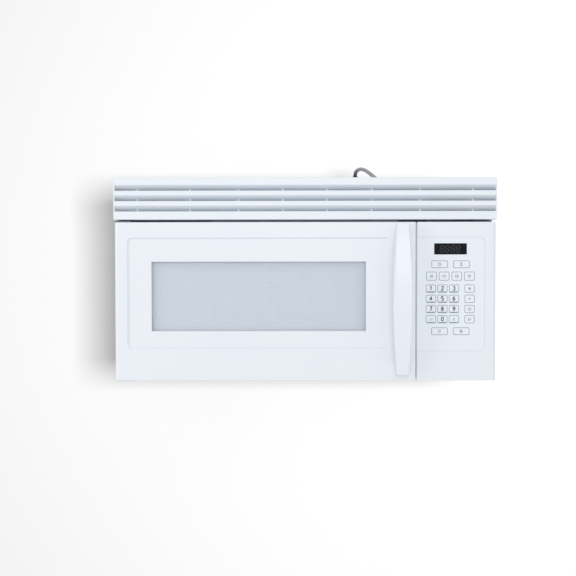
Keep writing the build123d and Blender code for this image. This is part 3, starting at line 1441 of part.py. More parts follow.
# free stretch: up out of the relief, over in a tight bend and down to the coil
relief_top = Vector(cord_x, cord_y, case_top + relief_height)
coil_entry = coil_path.line @ 0
cord_route = [
    relief_top,
    relief_top + Vector(0.0, 0.0, 6.0),
    relief_top + Vector(3.8, 0.8, 12.5),
    relief_top + Vector(13.0, 1.6, 16.5),
    relief_top + Vector(27.0, 2.0, 11.0),
    relief_top + Vector(56.0, 1.2, -14.0),
    coil_entry - Vector(24.0, 0.0, 0.0),
    coil_entry,
]
route_radii = []
for before, corner, after in zip(cord_route, cord_route[1:], cord_route[2:]):
    turn = radians((corner - before).get_angle(after - corner))
    shorter = min((corner - before).length, (after - corner).length)
    route_radii.append(0.45 * shorter / tan(turn / 2))
with BuildPart() as cord_run:
    with BuildLine() as run_path:
        FilletPolyline(*cord_route, radius=route_radii)
    with BuildSketch(Plane(origin=run_path.line @ 0, z_dir=run_path.line % 0)):
        Circle(cord_radius)
    sweep(path=run_path.line)
cord_run.part.label = "cord_run"
export_step(cord_run.part, "parts/cord_run.step")

# tie round the turns at the back of the coil
with BuildPart() as cord_tie:
    tie_y = (
        coil_y + coil_inner - cord_radius - tie_gap,
        coil_y + coil_inner + coil_pitch + cord_radius + tie_gap,
    )
    tie_z = (coil_z - cord_radius - tie_gap, coil_z + coil_pitch + cord_radius + tie_gap)
    block(about(coil_x, tie_width), grow(tie_y, tie_sheet), grow(tie_z, tie_sheet))
    block(about(coil_x, tie_width), tie_y, tie_z, Mode.SUBTRACT)
cord_tie.part.label = "cord_tie"
export_step(cord_tie.part, "parts/cord_tie.step")

# plug, lying on the case beside the coil
plug_neck = 16.0
plug_body = 34.0
with BuildPart() as power_plug:
    plug_plane = Plane(origin=tail_end, x_dir=(0, 1, 0), z_dir=(1, 0, 0))
    with BuildSketch(plug_plane):
        Circle(cord_radius + 1.2)
    with BuildSketch(plug_plane.offset(plug_neck)):
        Circle(cord_radius + 4.0)
    loft()
    with BuildSketch(plug_plane.offset(plug_neck)):
        RectangleRounded(plug_width, plug_thick, 6.0)
    extrude(amount=plug_body)
    with BuildSketch(plug_plane.offset(plug_neck + plug_body)):
        with Locations((-6.35, -5.5), (6.35, -5.5)):
            Rectangle(1.5, 6.3)
    extrude(amount=16.0)
    with BuildSketch(plug_plane.offset(plug_neck + plug_body)):
        with Locations((0.0, 6.4)):
            Circle(2.4)
    extrude(amount=19.0)
power_plug.part.label = "power_plug"
export_step(power_plug.part, "parts/power_plug.step")

# ------------------------------------------------------------------ measures of the cord
samples = 300
coil_points = [coil_path.line @ (k / samples) for k in range(samples + 1)]
coil_length = coil_path.wires()[0].length
apart = int(samples * (2 * pi * coil_inner / 2) / coil_length)
least = min(
    (coil_points[i] - coil_points[j]).length for i in range(samples + 1) for j in range(i + apart, samples + 1)
)
tube_length = run_path.wires()[0].length
print("cord run", round(tube_length, 1), "coil", round(coil_length, 1))
print("cord bends", [round(radius, 1) for radius in route_radii])
print("least gap between the coil's turns", round(least - 2 * cord_radius, 2))
print("run volume over section times length", round(cord_run.part.volume / (pi * cord_radius**2 * tube_length), 4))
print("coil volume over section times length", round(cord_coil.part.volume / (pi * cord_radius**2 * coil_length), 4))
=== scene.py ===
# %% [markdown]
# # A white over-the-range microwave, dressed for its portrait
# The oven's real shapes come from the CAD model, already at true size. This lesson adds what a
# drawing office leaves out: the finish of each sheet and moulding, the print on the keys, the grey
# supply cord and the light of a plain studio. Lengths are in metres, and `mm` turns the sizes of
# the drawing into them. We load the CAD first.

# %% Load the drawing
from math import cos, pi, radians, sin

import bmesh
import bpy
from mathutils import Matrix, Vector


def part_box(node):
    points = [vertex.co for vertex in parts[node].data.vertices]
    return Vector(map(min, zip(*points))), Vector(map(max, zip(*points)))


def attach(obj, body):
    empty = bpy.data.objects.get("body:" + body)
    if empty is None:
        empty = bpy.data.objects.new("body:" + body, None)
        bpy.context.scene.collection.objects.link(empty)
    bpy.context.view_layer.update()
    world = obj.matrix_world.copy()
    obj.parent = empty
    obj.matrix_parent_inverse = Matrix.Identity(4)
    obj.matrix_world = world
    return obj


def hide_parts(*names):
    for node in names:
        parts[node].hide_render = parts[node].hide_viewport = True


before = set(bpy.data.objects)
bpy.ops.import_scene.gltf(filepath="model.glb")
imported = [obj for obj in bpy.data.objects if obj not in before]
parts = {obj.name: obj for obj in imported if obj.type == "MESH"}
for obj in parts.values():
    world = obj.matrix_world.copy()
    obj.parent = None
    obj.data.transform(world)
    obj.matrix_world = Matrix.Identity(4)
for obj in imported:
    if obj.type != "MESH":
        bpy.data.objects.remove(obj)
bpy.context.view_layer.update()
mm = 0.001
print("pieces in the drawing", len(parts))

# %% [markdown]
# ## Where the photographer stood
# A camera is placed by asking where the real one was. Edges of the door, the grille and the panel
# gave its distance, its height and its lens by least squares: 1.7 m in front of the door, a little
# left of the middle, looking one and a half degrees down. The three small angles are kept, because a
# level picture of a box shows even half a degree.

# %% Camera
door_front = -174.75 * mm
eye_side, eye_distance, eye_height = -26.0 * mm, 1.7, 230.0 * mm
eye = Vector((eye_side, door_front - eye_distance, eye_height))
yaw, pitch, roll = radians(-0.269), radians(-1.467), radians(-0.071)
ahead = Vector((sin(yaw) * cos(pitch), cos(yaw) * cos(pitch), sin(pitch)))
level = Vector((cos(yaw), -sin(yaw), 0.0))
upright = level.cross(ahead)
across = level * cos(roll) + upright * sin(roll)
upward = upright * cos(roll) - level * sin(roll)

lens = bpy.data.cameras.new("portrait_camera")
lens.sensor_width = 36.0
lens.lens = 53.654
lens.clip_end = 20.0
camera = bpy.data.objects.new("portrait_camera", lens)
facing = Matrix((across, upward, -ahead)).transposed().to_4x4()
camera.matrix_world = Matrix.Translation(eye) @ facing
bpy.context.scene.collection.objects.link(camera)
bpy.context.scene.camera = camera
bpy.context.scene.view_settings.view_transform = "Standard"
print("camera at", [round(v, 3) for v in eye], "lens", lens.lens, "mm")

# %% [markdown]
# ## The studio
# An oven of this kind hangs over a range, so here it hangs a few centimetres in front of a white
# paper wall, which curves into a floor well below the picture. A light from the right throws a soft
# shadow on the paper at the oven's left. The paper is matte with a little light of its own. Its grey
# is a trace warm, which cancels the cool tint of the lamp that lights it. Only the camera sees it,
# from the front: every other ray goes through it as through gauze. So the page is white without
# pouring more light on the oven, and the oven's back isn't left in the dark.

# %% Paper that only the camera sees
paper = bpy.data.materials.new("studio_paper")
paper.use_nodes = True
nodes, links = paper.node_tree.nodes, paper.node_tree.links
nodes.clear()
matte = nodes.new("ShaderNodeBsdfDiffuse")
matte.inputs["Color"].default_value = (0.420, 0.408, 0.397, 1.0)
own_light = nodes.new("ShaderNodeEmission")
own_light.inputs["Strength"].default_value = 0.045
both = nodes.new("ShaderNodeAddShader")
links.new(matte.outputs[0], both.inputs[0])
links.new(own_light.outputs[0], both.inputs[1])
seen_by = nodes.new("ShaderNodeLightPath")
side_seen = nodes.new("ShaderNodeNewGeometry")
is_there = nodes.new("ShaderNodeMath")
is_there.operation = "SUBTRACT"
is_there.use_clamp = True
links.new(seen_by.outputs["Is Camera Ray"], is_there.inputs[0])
links.new(side_seen.outputs["Backfacing"], is_there.inputs[1])
gauze = nodes.new("ShaderNodeBsdfTransparent")
paper_or_gauze = nodes.new("ShaderNodeMixShader")
paper_out = nodes.new("ShaderNodeOutputMaterial")
links.new(is_there.outputs[0], paper_or_gauze.inputs["Fac"])
links.new(gauze.outputs[0], paper_or_gauze.inputs[1])
links.new(both.outputs[0], paper_or_gauze.inputs[2])
links.new(paper_or_gauze.outputs[0], paper_out.inputs["Surface"])
print("paper made of", len(nodes), "nodes")

# %% Wall and floor in one sweep
wall_back, wall_top = 0.262, 2.6
floor_level, floor_front = -0.95, -3.6
half_width = 3.4
cove = 0.30
bend = [
    (wall_back - cove + cove * sin(radians(a)), floor_level + cove - cove * cos(radians(a)))
    for a in range(0, 91, 10)
]
profile = [(floor_front, floor_level)] + bend + [(wall_back, wall_top)]
paper_mesh = bmesh.new()
rails = [
    [paper_mesh.verts.new((side, y, z)) for y, z in profile] for side in (-half_width, half_width)
]
for near, far, near_up, far_up in zip(rails[0], rails[1], rails[0][1:], rails[1][1:]):
    paper_mesh.faces.new((near, far, far_up, near_up)).smooth = True
sweep_data = bpy.data.meshes.new("paper_sweep")
paper_mesh.to_mesh(sweep_data)
paper_mesh.free()
sweep_data.materials.append(paper)
paper_sweep = bpy.data.objects.new("paper_sweep", sweep_data)
bpy.context.scene.collection.objects.link(paper_sweep)

# %% [markdown]
# ## Light
# The white room around the oven, which is the world, gives most of its light: the photograph has
# almost no shadow on the oven itself, and its rounded edges are as bright as its face. A wide lamp
# high in front adds a little shape, and one at the left clears the handle's side. The shadow on the
# paper comes from a third lamp, a little right of the camera. Light linking keeps the paper's light
# apart: the first two lamps pass it by, and the third lights nothing else, though the oven blocks it.


# %% Lamps and room
oven_middle = Vector((0.0, -0.1, 0.2))


def soft_lamp(name, place, width, height, watts):
    """A rectangular lamp that faces the oven."""
    data = bpy.data.lights.new(name, "AREA")
    data.shape = "RECTANGLE"
    data.size, data.size_y = width, height
    data.energy = watts
    lamp = bpy.data.objects.new(name, data)
    lamp.location = place
    aim = oven_middle - lamp.location
    lamp.rotation_euler = aim.to_track_quat("-Z", "Y").to_euler()
    bpy.context.scene.collection.objects.link(lamp)
    return lamp


daylight = (0.945, 0.972, 1.0)
front_lamp = soft_lamp("front_lamp", (0.1, -3.2, 1.05), 1.0, 1.0, 16.0)
left_lamp = soft_lamp("left_lamp", (-2.6, -1.8, 0.5), 0.9, 0.9, 11.0)
paper_lamp = soft_lamp("paper_lamp", (0.60, -3.3, 0.30), 0.85, 0.60, 230.0)
paper_lamp.data.color = daylight
for lamp, state in ((paper_lamp, "INCLUDE"), (front_lamp, "EXCLUDE"), (left_lamp, "EXCLUDE")):
    linked = bpy.data.collections.new(f"paper_for_{lamp.name}")
    linked.objects.link(paper_sweep)
    linked.collection_objects[0].light_linking.link_state = state
    lamp.light_linking.receiver_collection = linked

room = bpy.data.worlds.new("white_room")
room.use_nodes = True
room.node_tree.nodes["Background"].inputs["Color"].default_value = (*daylight, 1.0)
room.node_tree.nodes["Background"].inputs["Strength"].default_value = 0.80
bpy.context.scene.world = room
print("lamps", [lamp.name for lamp in (front_lamp, left_lamp, paper_lamp)])

# %% [markdown]
# ## How a finish is made here
# Real surfaces are never one flat number. A moulding carries the fine grain of its steel mould, and
# enamel has a slight orange peel. `finish` builds that once: a plain shader, whose single values sit
# on its own sockets, plus a grain that bumps the surface and a slow drift in gloss. The grain's size
# is the real one, in millimetres, since its coordinates are the object's own.


# %% One recipe for solid surfaces
def painted(red, green, blue):
    """Turn a colour as it is seen on a screen, 0 to 255, into the light values Blender mixes."""
    light = [v / 255.0 for v in (red, green, blue)]
    return [v / 12.92 if v <= 0.04045 else ((v + 0.055) / 1.055) ** 2.4 for v in light]


def own_place(material):
    """Where each point is in its piece's own coordinates, in metres."""
    return material.node_tree.nodes.new("ShaderNodeTexCoord").outputs["Object"]


def stretch(material, value, source, target=(0.0, 1.0), smooth=False):
    """Carry a changing value from one span of numbers to another, and hold it at both ends."""
    span = material.node_tree.nodes.new("ShaderNodeMapRange")
    span.interpolation_type = "SMOOTHSTEP" if smooth else "LINEAR"
    span.inputs["From Min"].default_value, span.inputs["From Max"].default_value = source
    span.inputs["To Min"].default_value, span.inputs["To Max"].default_value = target
    material.node_tree.links.new(value, span.inputs["Value"])
    return span.outputs["Result"]


def finish(
    name, colour, gloss=0.45, metal=0.0, grain_mm=0.6, grain_depth_mm=0.01, drift=0.05, coat=0.0
):
    """A surface with a moulded or painted grain and a gloss that drifts slowly over it."""
    material = bpy.data.materials.new(name)
    material.use_nodes = True
    nodes, links = material.node_tree.nodes, material.node_tree.links
    shader = nodes["Principled BSDF"]
    shader.inputs["Base Color"].default_value = (*painted(*colour), 1.0)
    shader.inputs["Metallic"].default_value = metal
    shader.inputs["Coat Weight"].default_value = coat
    shader.inputs["Coat Roughness"].default_value = 0.12
    place = own_place(material)
    grain = nodes.new("ShaderNodeTexNoise")
    grain.name = "grain"
    grain.inputs["Scale"].default_value = 1000.0 / grain_mm / 3.0
    grain.inputs["Detail"].default_value = 2.0
    links.new(place, grain.inputs["Vector"])
    bump = nodes.new("ShaderNodeBump")
    bump.inputs["Strength"].default_value = 0.6
    bump.inputs["Distance"].default_value = grain_depth_mm * mm
    links.new(grain.outputs["Fac"], bump.inputs["Height"])
    links.new(bump.outputs["Normal"], shader.inputs["Normal"])
    slow = nodes.new("ShaderNodeTexNoise")
    slow.name = "slow_drift"
    slow.inputs["Scale"].default_value = 9.0
    slow.inputs["Detail"].default_value = 3.0
    links.new(place, slow.inputs["Vector"])
    roughness = stretch(material, slow.outputs["Fac"], (0.0, 1.0), (gloss - drift, gloss + drift))
    links.new(roughness, shader.inputs["Roughness"])
    return material


# %% [markdown]
# ## A second colour
# A finish is rarely one colour all over: white resin is a shade darker in drifts and a board shows
# its weave. Two of the second colours are painted shade and light instead: a darkening near a spot,
# and a lighter, bluer colour deeper in a slot. Each helper below works out a share from 0 to 1, from
# a texture, from the distance to a spot or from depth, and `mix_in` mixes a second colour in by it.


# %% Second colours
def mix_in(material, colour, share):
    """Mix a second colour into the base colour, by a share that runs from 0 to 1."""
    links = material.node_tree.links
    base = material.node_tree.nodes["Principled BSDF"].inputs["Base Color"]
    mix = material.node_tree.nodes.new("ShaderNodeMix")
    mix.data_type = "RGBA"
    mix.inputs["A"].default_value = base.default_value
    mix.inputs["B"].default_value = (*painted(*colour), 1.0)
    if base.is_linked:
        links.new(base.links[0].from_socket, mix.inputs["A"])
    links.new(share, mix.inputs["Factor"])
    links.new(mix.outputs["Result"], base)


def vary_colour(material, texture, amount, darker):
    """Let a texture already in the material pull its colour towards a darker one, by this amount."""
    share = stretch(material, texture.outputs[0], (0.35, 0.75), (0.0, amount))
    mix_in(material, darker, share)


def darken_near(material, spot, full, none, darker):
    """Darken near one spot: fully within the first distance, not at all past the second."""
    away = material.node_tree.nodes.new("ShaderNodeVectorMath")
    away.operation = "DISTANCE"
    away.inputs[1].default_value = spot
    material.node_tree.links.new(own_place(material), away.inputs[0])
    mix_in(material, darker, stretch(material, away.outputs["Value"], (full, none), (1.0, 0.0)))


def axes_of(material, place):
    """Split a place into X, Y and Z."""
    split = material.node_tree.nodes.new("ShaderNodeSeparateXYZ")
    material.node_tree.links.new(place, split.inputs["Vector"])
    return split.outputs


def tint_deeper(material, start, full, colour):
    """Let the colour change to another with depth, from Y at start, in metres, to Y at full."""
    depth = axes_of(material, own_place(material))["Y"]
    mix_in(material, colour, stretch(material, depth, (start, full)))


def dress(material, *names):
    """Give every face of these pieces of the drawing one finish."""
    for name in names:
        for slot in parts[name].material_slots:
            slot.material = material
    print(material.name, "on", len(names), "pieces")


# %% [markdown]
# ## White mouldings
# The door, the panel and the handle are injection-moulded and smooth, and the grille is the same
# resin with a drier, finer grain. The handle is the shiniest, because hands and polish keep it so.
# All are a cool white: what looks like pure white in the photograph measures a little blue. Deeper in
# its slots the grille is painted whiter and bluer, painted light that lifts their shade, so the slots
# read pale blue, not grey.

# %% Door, panel, grille and handle
front_white = finish("front_white", (237, 240, 244), gloss=0.38, grain_mm=0.8, grain_depth_mm=0.012)
grille_white = finish("grille_white", (238, 241, 246), gloss=0.50, grain_mm=0.5, grain_depth_mm=0.02)
handle_white = finish("handle_white", (238, 241, 245), gloss=0.30, grain_depth_mm=0.004, coat=0.1)
for white in (front_white, grille_white, handle_white):
    vary_colour(white, white.node_tree.nodes["slow_drift"], 0.35, (229, 234, 240))
# painted light: the grille's colour turns whiter and bluer deeper in its slots, lifting their shade
tint_deeper(grille_white, door_front + 0.6 * mm, door_front + 5.0 * mm, (241, 248, 255))
dress(front_white, "door_frame", "control_housing")
dress(grille_white, "vent_grille")
dress(handle_white, "door_handle")

inner_grey = finish("inner_grey", (205, 208, 211), gloss=0.5, grain_mm=0.5, grain_depth_mm=0.02)
ring_natural = finish("ring_natural", (226, 226, 219), gloss=0.42, grain_mm=0.7)
dress(inner_grey, "choke_cover", "latch_hooks", "latch_board", "turntable_coupler")
dress(ring_natural, "roller_ring", "roller_1", "roller_2", "roller_3")

# %% [markdown]
# ## Painted steel
# The wrap, the base and the oven's inside are sheet steel under baked enamel. Enamel flows before it
# sets and leaves a shallow orange peel some two millimetres across, so its grain is larger and
# softer than the plastic's.

# %% Enamelled sheets
peel = {"grain_depth_mm": 0.02}
case_enamel = finish("case_enamel", (234, 238, 242), gloss=0.33, grain_mm=2.2, coat=0.15, **peel)
oven_enamel = finish("oven_enamel", (214, 217, 219), gloss=0.36, grain_mm=2.0, **peel)
vary_colour(case_enamel, case_enamel.node_tree.nodes["slow_drift"], 0.3, (226, 231, 236))
vary_colour(oven_enamel, oven_enamel.node_tree.nodes["slow_drift"], 0.4, (203, 207, 210))
dress(case_enamel, "outer_case", "base_pan", "front_plate")
dress(oven_enamel, "cavity_liner")

# %% [markdown]
# ## Galvanised sheet and other bare metal
# The back and the bare sheet parts inside are zinc-coated steel, whose crystals grow as spangles
# under a centimetre wide. A Voronoi texture draws crystals: each cell gets its own grey. The upper
# hinge bracket is steel in a dark grey, which is painted shade: it reads as the shadow in the gap
# below the grille. The lower one, which shows under the door's corner, is enamelled like the case.


# %% Spangled zinc
def spangled(name, colour, darker, crystal_mm, gloss=0.42):
    """Bare zinc: crystal cells that differ in colour."""
    grain = {"grain_mm": 0.4, "grain_depth_mm": 0.006}
    material = finish(name, colour, gloss=gloss, metal=0.85, drift=0.08, **grain)
    nodes, links = material.node_tree.nodes, material.node_tree.links
    crystals = nodes.new("ShaderNodeTexVoronoi")
    crystals.inputs["Scale"].default_value = 1000.0 / crystal_mm
    links.new(own_place(material), crystals.inputs["Vector"])
    tone = nodes.new("ShaderNodeSeparateColor")
    links.new(crystals.outputs["Color"], tone.inputs["Color"])
    vary_colour(material, tone, 0.75, darker)
    return material


zinc_sheet = spangled("zinc_sheet", (200, 203, 206), (184, 188, 192), 7.0)
bright_zinc = spangled("bright_zinc", (214, 215, 218), (180, 183, 186), 3.0, gloss=0.25)
spring_wire = finish("spring_wire", (150, 150, 153), gloss=0.3, metal=1.0, grain_mm=0.3)
dress(
    zinc_sheet,
    *("rear_panel", "exhaust_cover", "component_shelf", "waveguide", "magnetron_yoke"),
    *("turntable_motor", "blower_housing_left", "blower_housing_right"),
)
# painted shade: the upper hinge bracket is steel darkened to read as the shadow in the gap
hinge_steel_painted_shade = finish("hinge_steel_painted_shade", (104, 112, 121), gloss=0.4, metal=0.7, grain_mm=0.4)
dress(hinge_steel_painted_shade, "hinge_bracket_upper")
dress(case_enamel, "hinge_bracket_lower")
dress(bright_zinc, "case_screws", "handle_screws")
dress(spring_wire, "latch_spring")

# %% [markdown]
# ## Behind the panel and under the case
# Motors and the transformer are stacks of varnished iron sheets wound with enamelled copper. Wave
# textures in the right direction draw the stack and the wire, which is how both show from outside.
# Fans and switches are plain dark mouldings. The filter behind the grille is charcoal under a pale
# fleece, so what shows through the slots isn't black.


# %% Iron stacks, copper wire, cans and boards
def banded(name, colour, darker, band_mm, along, **looks):
    """A surface of thin bands, such as stacked sheets or wound wire, that repeat along one axis."""
    material = finish(name, colour, **looks)
    bands = material.node_tree.nodes.new("ShaderNodeTexWave")
    bands.bands_direction = along
    bands.inputs["Scale"].default_value = 1000.0 / band_mm / 20.0 * pi
    bands.inputs["Distortion"].default_value = 0.4
    material.node_tree.links.new(own_place(material), bands.inputs["Vector"])
    vary_colour(material, bands, 0.8, darker)
    return material


iron_stack = banded("iron_stack", (96, 96, 99), (58, 58, 61), 1.0, "Y", gloss=0.42, metal=0.6)
copper_wire = banded("copper_wire", (176, 96, 52), (112, 54, 28), 1.2, "Z", gloss=0.3, metal=0.7)
fin_metal = finish("fin_metal", (192, 194, 197), gloss=0.3, metal=0.9, grain_mm=0.4)
can_metal = finish("can_metal", (196, 199, 203), gloss=0.26, metal=0.95, grain_mm=0.5)
board_green = finish("board_green", (44, 92, 58), gloss=0.3, grain_mm=1.4, grain_depth_mm=0.03)
vary_colour(board_green, board_green.node_tree.nodes["grain"], 0.8, (30, 66, 42))
mica_sheet = finish("mica_sheet", (206, 196, 172), gloss=0.32, grain_mm=4.0, grain_depth_mm=0.03)
vary_colour(mica_sheet, mica_sheet.node_tree.nodes["grain"], 0.7, (186, 172, 142))
dress(iron_stack, "transformer_core", "fan_motor", "blower_motor")
dress(copper_wire, "transformer_windings")
dress(fin_metal, "magnetron_core")
dress(can_metal, "hv_capacitor")
dress(board_green, "control_board", "line_filter_board")
dress(mica_sheet, "waveguide_cover")

black_moulding = finish("black_moulding", (36, 36, 38), gloss=0.5, grain_mm=0.5, grain_depth_mm=0.03)
fan_grey = finish("fan_grey", (62, 65, 70), gloss=0.42, grain_mm=0.6, grain_depth_mm=0.02)
filter_fleece = finish("filter_fleece", (176, 186, 200), gloss=0.62, grain_mm=1.8, grain_depth_mm=0.25)
dress(black_moulding, "display_module", "interlock_switches", "fan_shroud", "cavity_thermostat")
dress(fan_grey, "cooling_fan", "blower_wheels")
dress(filter_fleece, "charcoal_filter")

# %% [markdown]
# ## Aluminium grease filters
# A grease filter is a frame round layers of expanded aluminium. The drawing has the frame and a
# coarse grid; the fine mesh is a sheet laid in it, with diamond holes cut by its material, because
# thousands of modelled strands would say no more at this scale.


# %% Filter frames and their fine mesh
def reckon(material, operation, *values):
    """One step of arithmetic in a material, on plain numbers or on values that change."""
    node = material.node_tree.nodes.new("ShaderNodeMath")
    node.operation = operation
    for entry, value in zip(node.inputs, values):
        if isinstance(value, float):
            entry.default_value = value
        else:
            material.node_tree.links.new(value, entry)
    return node.outputs[0]


def lace(material, pitch, strand, turn=45.0):
    """Cut the material into a mesh of strands, a pitch apart in metres and strand of it wide.
    A thousand pitches are added first, because a remainder changes its sign below zero."""
    nodes, links = material.node_tree.nodes, material.node_tree.links
    turned = nodes.new("ShaderNodeVectorRotate")
    turned.rotation_type = "Z_AXIS"
    turned.inputs["Angle"].default_value = radians(turn)
    links.new(own_place(material), turned.inputs["Vector"])
    axes = axes_of(material, turned.outputs["Vector"])
    strands = []
    for axis in ("X", "Y"):
        along = reckon(material, "ADD", axes[axis], 1000 * pitch)
        past_strand = reckon(material, "MODULO", along, pitch)
        strands.append(reckon(material, "LESS_THAN", past_strand, strand * pitch))
    either = reckon(material, "MAXIMUM", *strands)
    links.new(either, nodes["Principled BSDF"].inputs["Alpha"])


rolled = {"grain_mm": 0.5, "grain_depth_mm": 0.02}
filter_metal = finish("filter_metal", (190, 193, 196), gloss=0.33, metal=0.95, **rolled)
dress(filter_metal, "grease_filter_left", "grease_filter_right")
filter_lace = finish("filter_lace", (176, 179, 182), gloss=0.36, metal=0.9, grain_mm=0.4)
lace(filter_lace, 3.2 * mm, 0.30)
filter_rim, tab_reach, mesh_height = 9.0 * mm, 8.0 * mm, 1.5 * mm
for side in ("left", "right"):
    low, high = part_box(f"grease_filter_{side}")
    left, right = low[0] + filter_rim, high[0] - filter_rim
    near, far = low[1] + filter_rim, high[1] - tab_reach - filter_rim
    mesh_level = low[2] + mesh_height
    corners = [(x, y, mesh_level) for x, y in ((left, near), (right, near), (right, far), (left, far))]
    lace_data = bpy.data.meshes.new(f"filter_mesh_{side}")
    lace_data.from_pydata(corners, [], [(3, 2, 1, 0)])
    lace_data.materials.append(filter_lace)
    filter_mesh = bpy.data.objects.new(f"filter_mesh_{side}", lace_data)
    bpy.context.scene.collection.objects.link(filter_mesh)
    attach(filter_mesh, f"grease_filter_{side}")
print("filter mesh laid in both frames")

# %% [markdown]
# ## The window and the steel behind it
# What looks like a grey window is clear glass in front of a steel sheet with thousands of small
# holes that hold the microwaves in. Glass that bends light would need many bounces to look clear, so
# here it is a thin veil: mostly see-through, with a sharp reflection.


# %% Clear sheets
def clear(name, colour, veil, gloss=0.05):
    """Glass or clear plastic: veil is the share of light that its own colour keeps."""
    material = bpy.data.materials.new(name)
    material.use_nodes = True
    shader = material.node_tree.nodes["Principled BSDF"]
    shader.inputs["Base Color"].default_value = (*painted(*colour), 1.0)
    shader.inputs["Roughness"].default_value = gloss
    shader.inputs["Alpha"].default_value = veil
    shader.inputs["Coat Weight"].default_value = 0.3
    return material


pane_glass = clear("pane_glass", (216, 223, 232), 0.14)
inner_film = clear("inner_film", (225, 229, 234), 0.22)
tray_glass = clear("tray_glass", (214, 228, 228), 0.34)
bulb_glass = clear("bulb_glass", (240, 234, 220), 0.55)
dress(pane_glass, "door_window")
dress(inner_film, "door_inner_window")
dress(tray_glass, "turntable_tray")
dress(bulb_glass, "lamp_bulbs")
frosted_lens = finish("frosted_lens", (232, 233, 230), gloss=0.45, grain_mm=1.6, grain_depth_mm=0.12)
dress(frosted_lens, "lamp_cover")


# %% [markdown]
# ## Holes in the steel
# Thousands of modelled holes would bring far more faces than the picture can show, so the sheet's
# material draws them. Coordinates are folded into one small square, and the distance to its middle
# makes the round hole. At the window's top and sides the field of holes fades into a plain margin
# of a darker grey, which is painted shade cast by the frame; the field runs on below the sill.


# %% Perforated steel
def perforate(material, pitch, hole, web_colour, hole_colour, middle, reach, fade):
    """Draw round holes in a web of its own colour, on either side of middle as far as reach, both as
    X and Z in metres. The field fades out over its last stretch, which is as wide as fade says."""
    axes = axes_of(material, own_place(material))
    squares, inside = [], []
    for axis, centre, half in zip("XZ", middle, reach):
        from_middle = reckon(material, "SUBTRACT", axes[axis], centre)
        folded = reckon(material, "PINGPONG", from_middle, pitch / 2)
        squares.append(reckon(material, "MULTIPLY", folded, folded))
        off = reckon(material, "ABSOLUTE", from_middle)
        inside.append(stretch(material, off, (half, half - fade), smooth=True))
    distance = reckon(material, "SQRT", reckon(material, "ADD", *squares))
    in_hole = reckon(material, "LESS_THAN", distance, hole / 2)
    field = reckon(material, "MULTIPLY", *inside)
    mix_in(material, web_colour, field)
    mix_in(material, hole_colour, reckon(material, "MULTIPLY", in_hole, field))


# the base grey, darker than the web, is painted shade of the frame along the window's top and sides
screen_enamel_and_shade = finish("screen_enamel_and_shade", (202, 209, 218), gloss=0.45, grain_mm=1.5)
low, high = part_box("door_window")
field_margin, field_fade, below_sill = 4.0 * mm, 36.0 * mm, 26.0 * mm
field_low, field_high = low[2] - below_sill, high[2] - field_margin
field_middle = ((low[0] + high[0]) / 2, (field_low + field_high) / 2)
field_reach = ((high[0] - low[0]) / 2 - field_margin, (field_high - field_low) / 2)
hole_pitch, hole_width = 3.2 * mm, 1.9 * mm
web_grey, hole_grey = (228, 231, 236), (193, 200, 211)
perforate(
    screen_enamel_and_shade, hole_pitch, hole_width, web_grey, hole_grey, field_middle, field_reach, field_fade
)
dress(screen_enamel_and_shade, "door_screen")
print("perforated field", [round(2 * r / mm) for r in field_reach], "mm")

# %% [markdown]
# ## Keypad and display
# The keypad is one printed film. Its key outlines are fine grey lines, the number keys have a thicker
# lower edge that makes them look raised, and the digits are plain. Every other key gets a simple
# sign for what such a key does, drawn with the same pen. The print is thin ribbons that lie on the
# keys, so it keeps its width from every side.

# %% The film
film_white = finish("film_white", (236, 240, 245), gloss=0.46, grain_mm=0.4, grain_depth_mm=0.015)
polished = {"grain_mm": 3.0, "grain_depth_mm": 0.002, "drift": 0.03}
smoked_lens = finish("smoked_lens", (12, 16, 23), gloss=0.07, **polished)
smoked_lens.node_tree.nodes["Principled BSDF"].inputs["Specular IOR Level"].default_value = 0.18
dress(film_white, "keypad_membrane")
dress(smoked_lens, "display_lens")
keys_middle = 287.6 * mm
panel_top = 317.0 * mm
ink_height = 0.05 * mm
key_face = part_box("keypad_membrane")[0][1] - ink_height
print("key faces at", round(key_face / mm, 2), "mm")


# %% [markdown]
# ## A pen for the print
# Screen print is a thin layer of ink with lines of even width. A ribbon of flat faces follows each
# line, a hair in front of the keys, and keeps its width round the corners. A picture of the print
# would blur close up, and these faces stay sharp at any distance.


# %% A pen for printed lines
def ribbon(mesh, line, width, closed=False, depth=key_face):
    """Draw a line of even width through (x, z) points, on the plane of the keys or at a depth."""
    points = [Vector(p) for p in line]
    count = len(points)
    sharpest = 0.4  # a corner sharper than this would grow a spike
    edges = []
    for i, point in enumerate(points):
        before = points[i - 1] if closed or i else point
        after = points[(i + 1) % count] if closed or i < count - 1 else point
        run_in = (point - before).normalized() if point != before else (after - point).normalized()
        run_out = (after - point).normalized() if after != point else run_in
        lean = (run_in + run_out).normalized()
        side = Vector((-lean.y, lean.x)) * (width / 2 / max(sharpest, lean.dot(run_in)))
        edges.append([mesh.verts.new((p.x, depth, p.y)) for p in (point - side, point + side)])
    pairs = list(zip(edges, edges[1:])) + ([(edges[-1], edges[0])] if closed else [])
    for (a, b), (c, d) in pairs:
        mesh.faces.new((a, c, d, b))


def rounded(middle, size, corner, steps=4):
    """Points of a rounded rectangle about middle."""
    points = []
    for quarter, (sx, sz) in enumerate(((1, 1), (-1, 1), (-1, -1), (1, -1))):
        for k in range(steps + 1):
            turn = pi / 2 * (quarter + k / steps)
            x = middle[0] + sx * (size[0] / 2 - corner) + corner * cos(turn)
            z = middle[1] + sz * (size[1] / 2 - corner) + corner * sin(turn)
            points.append((x, z))
    return points


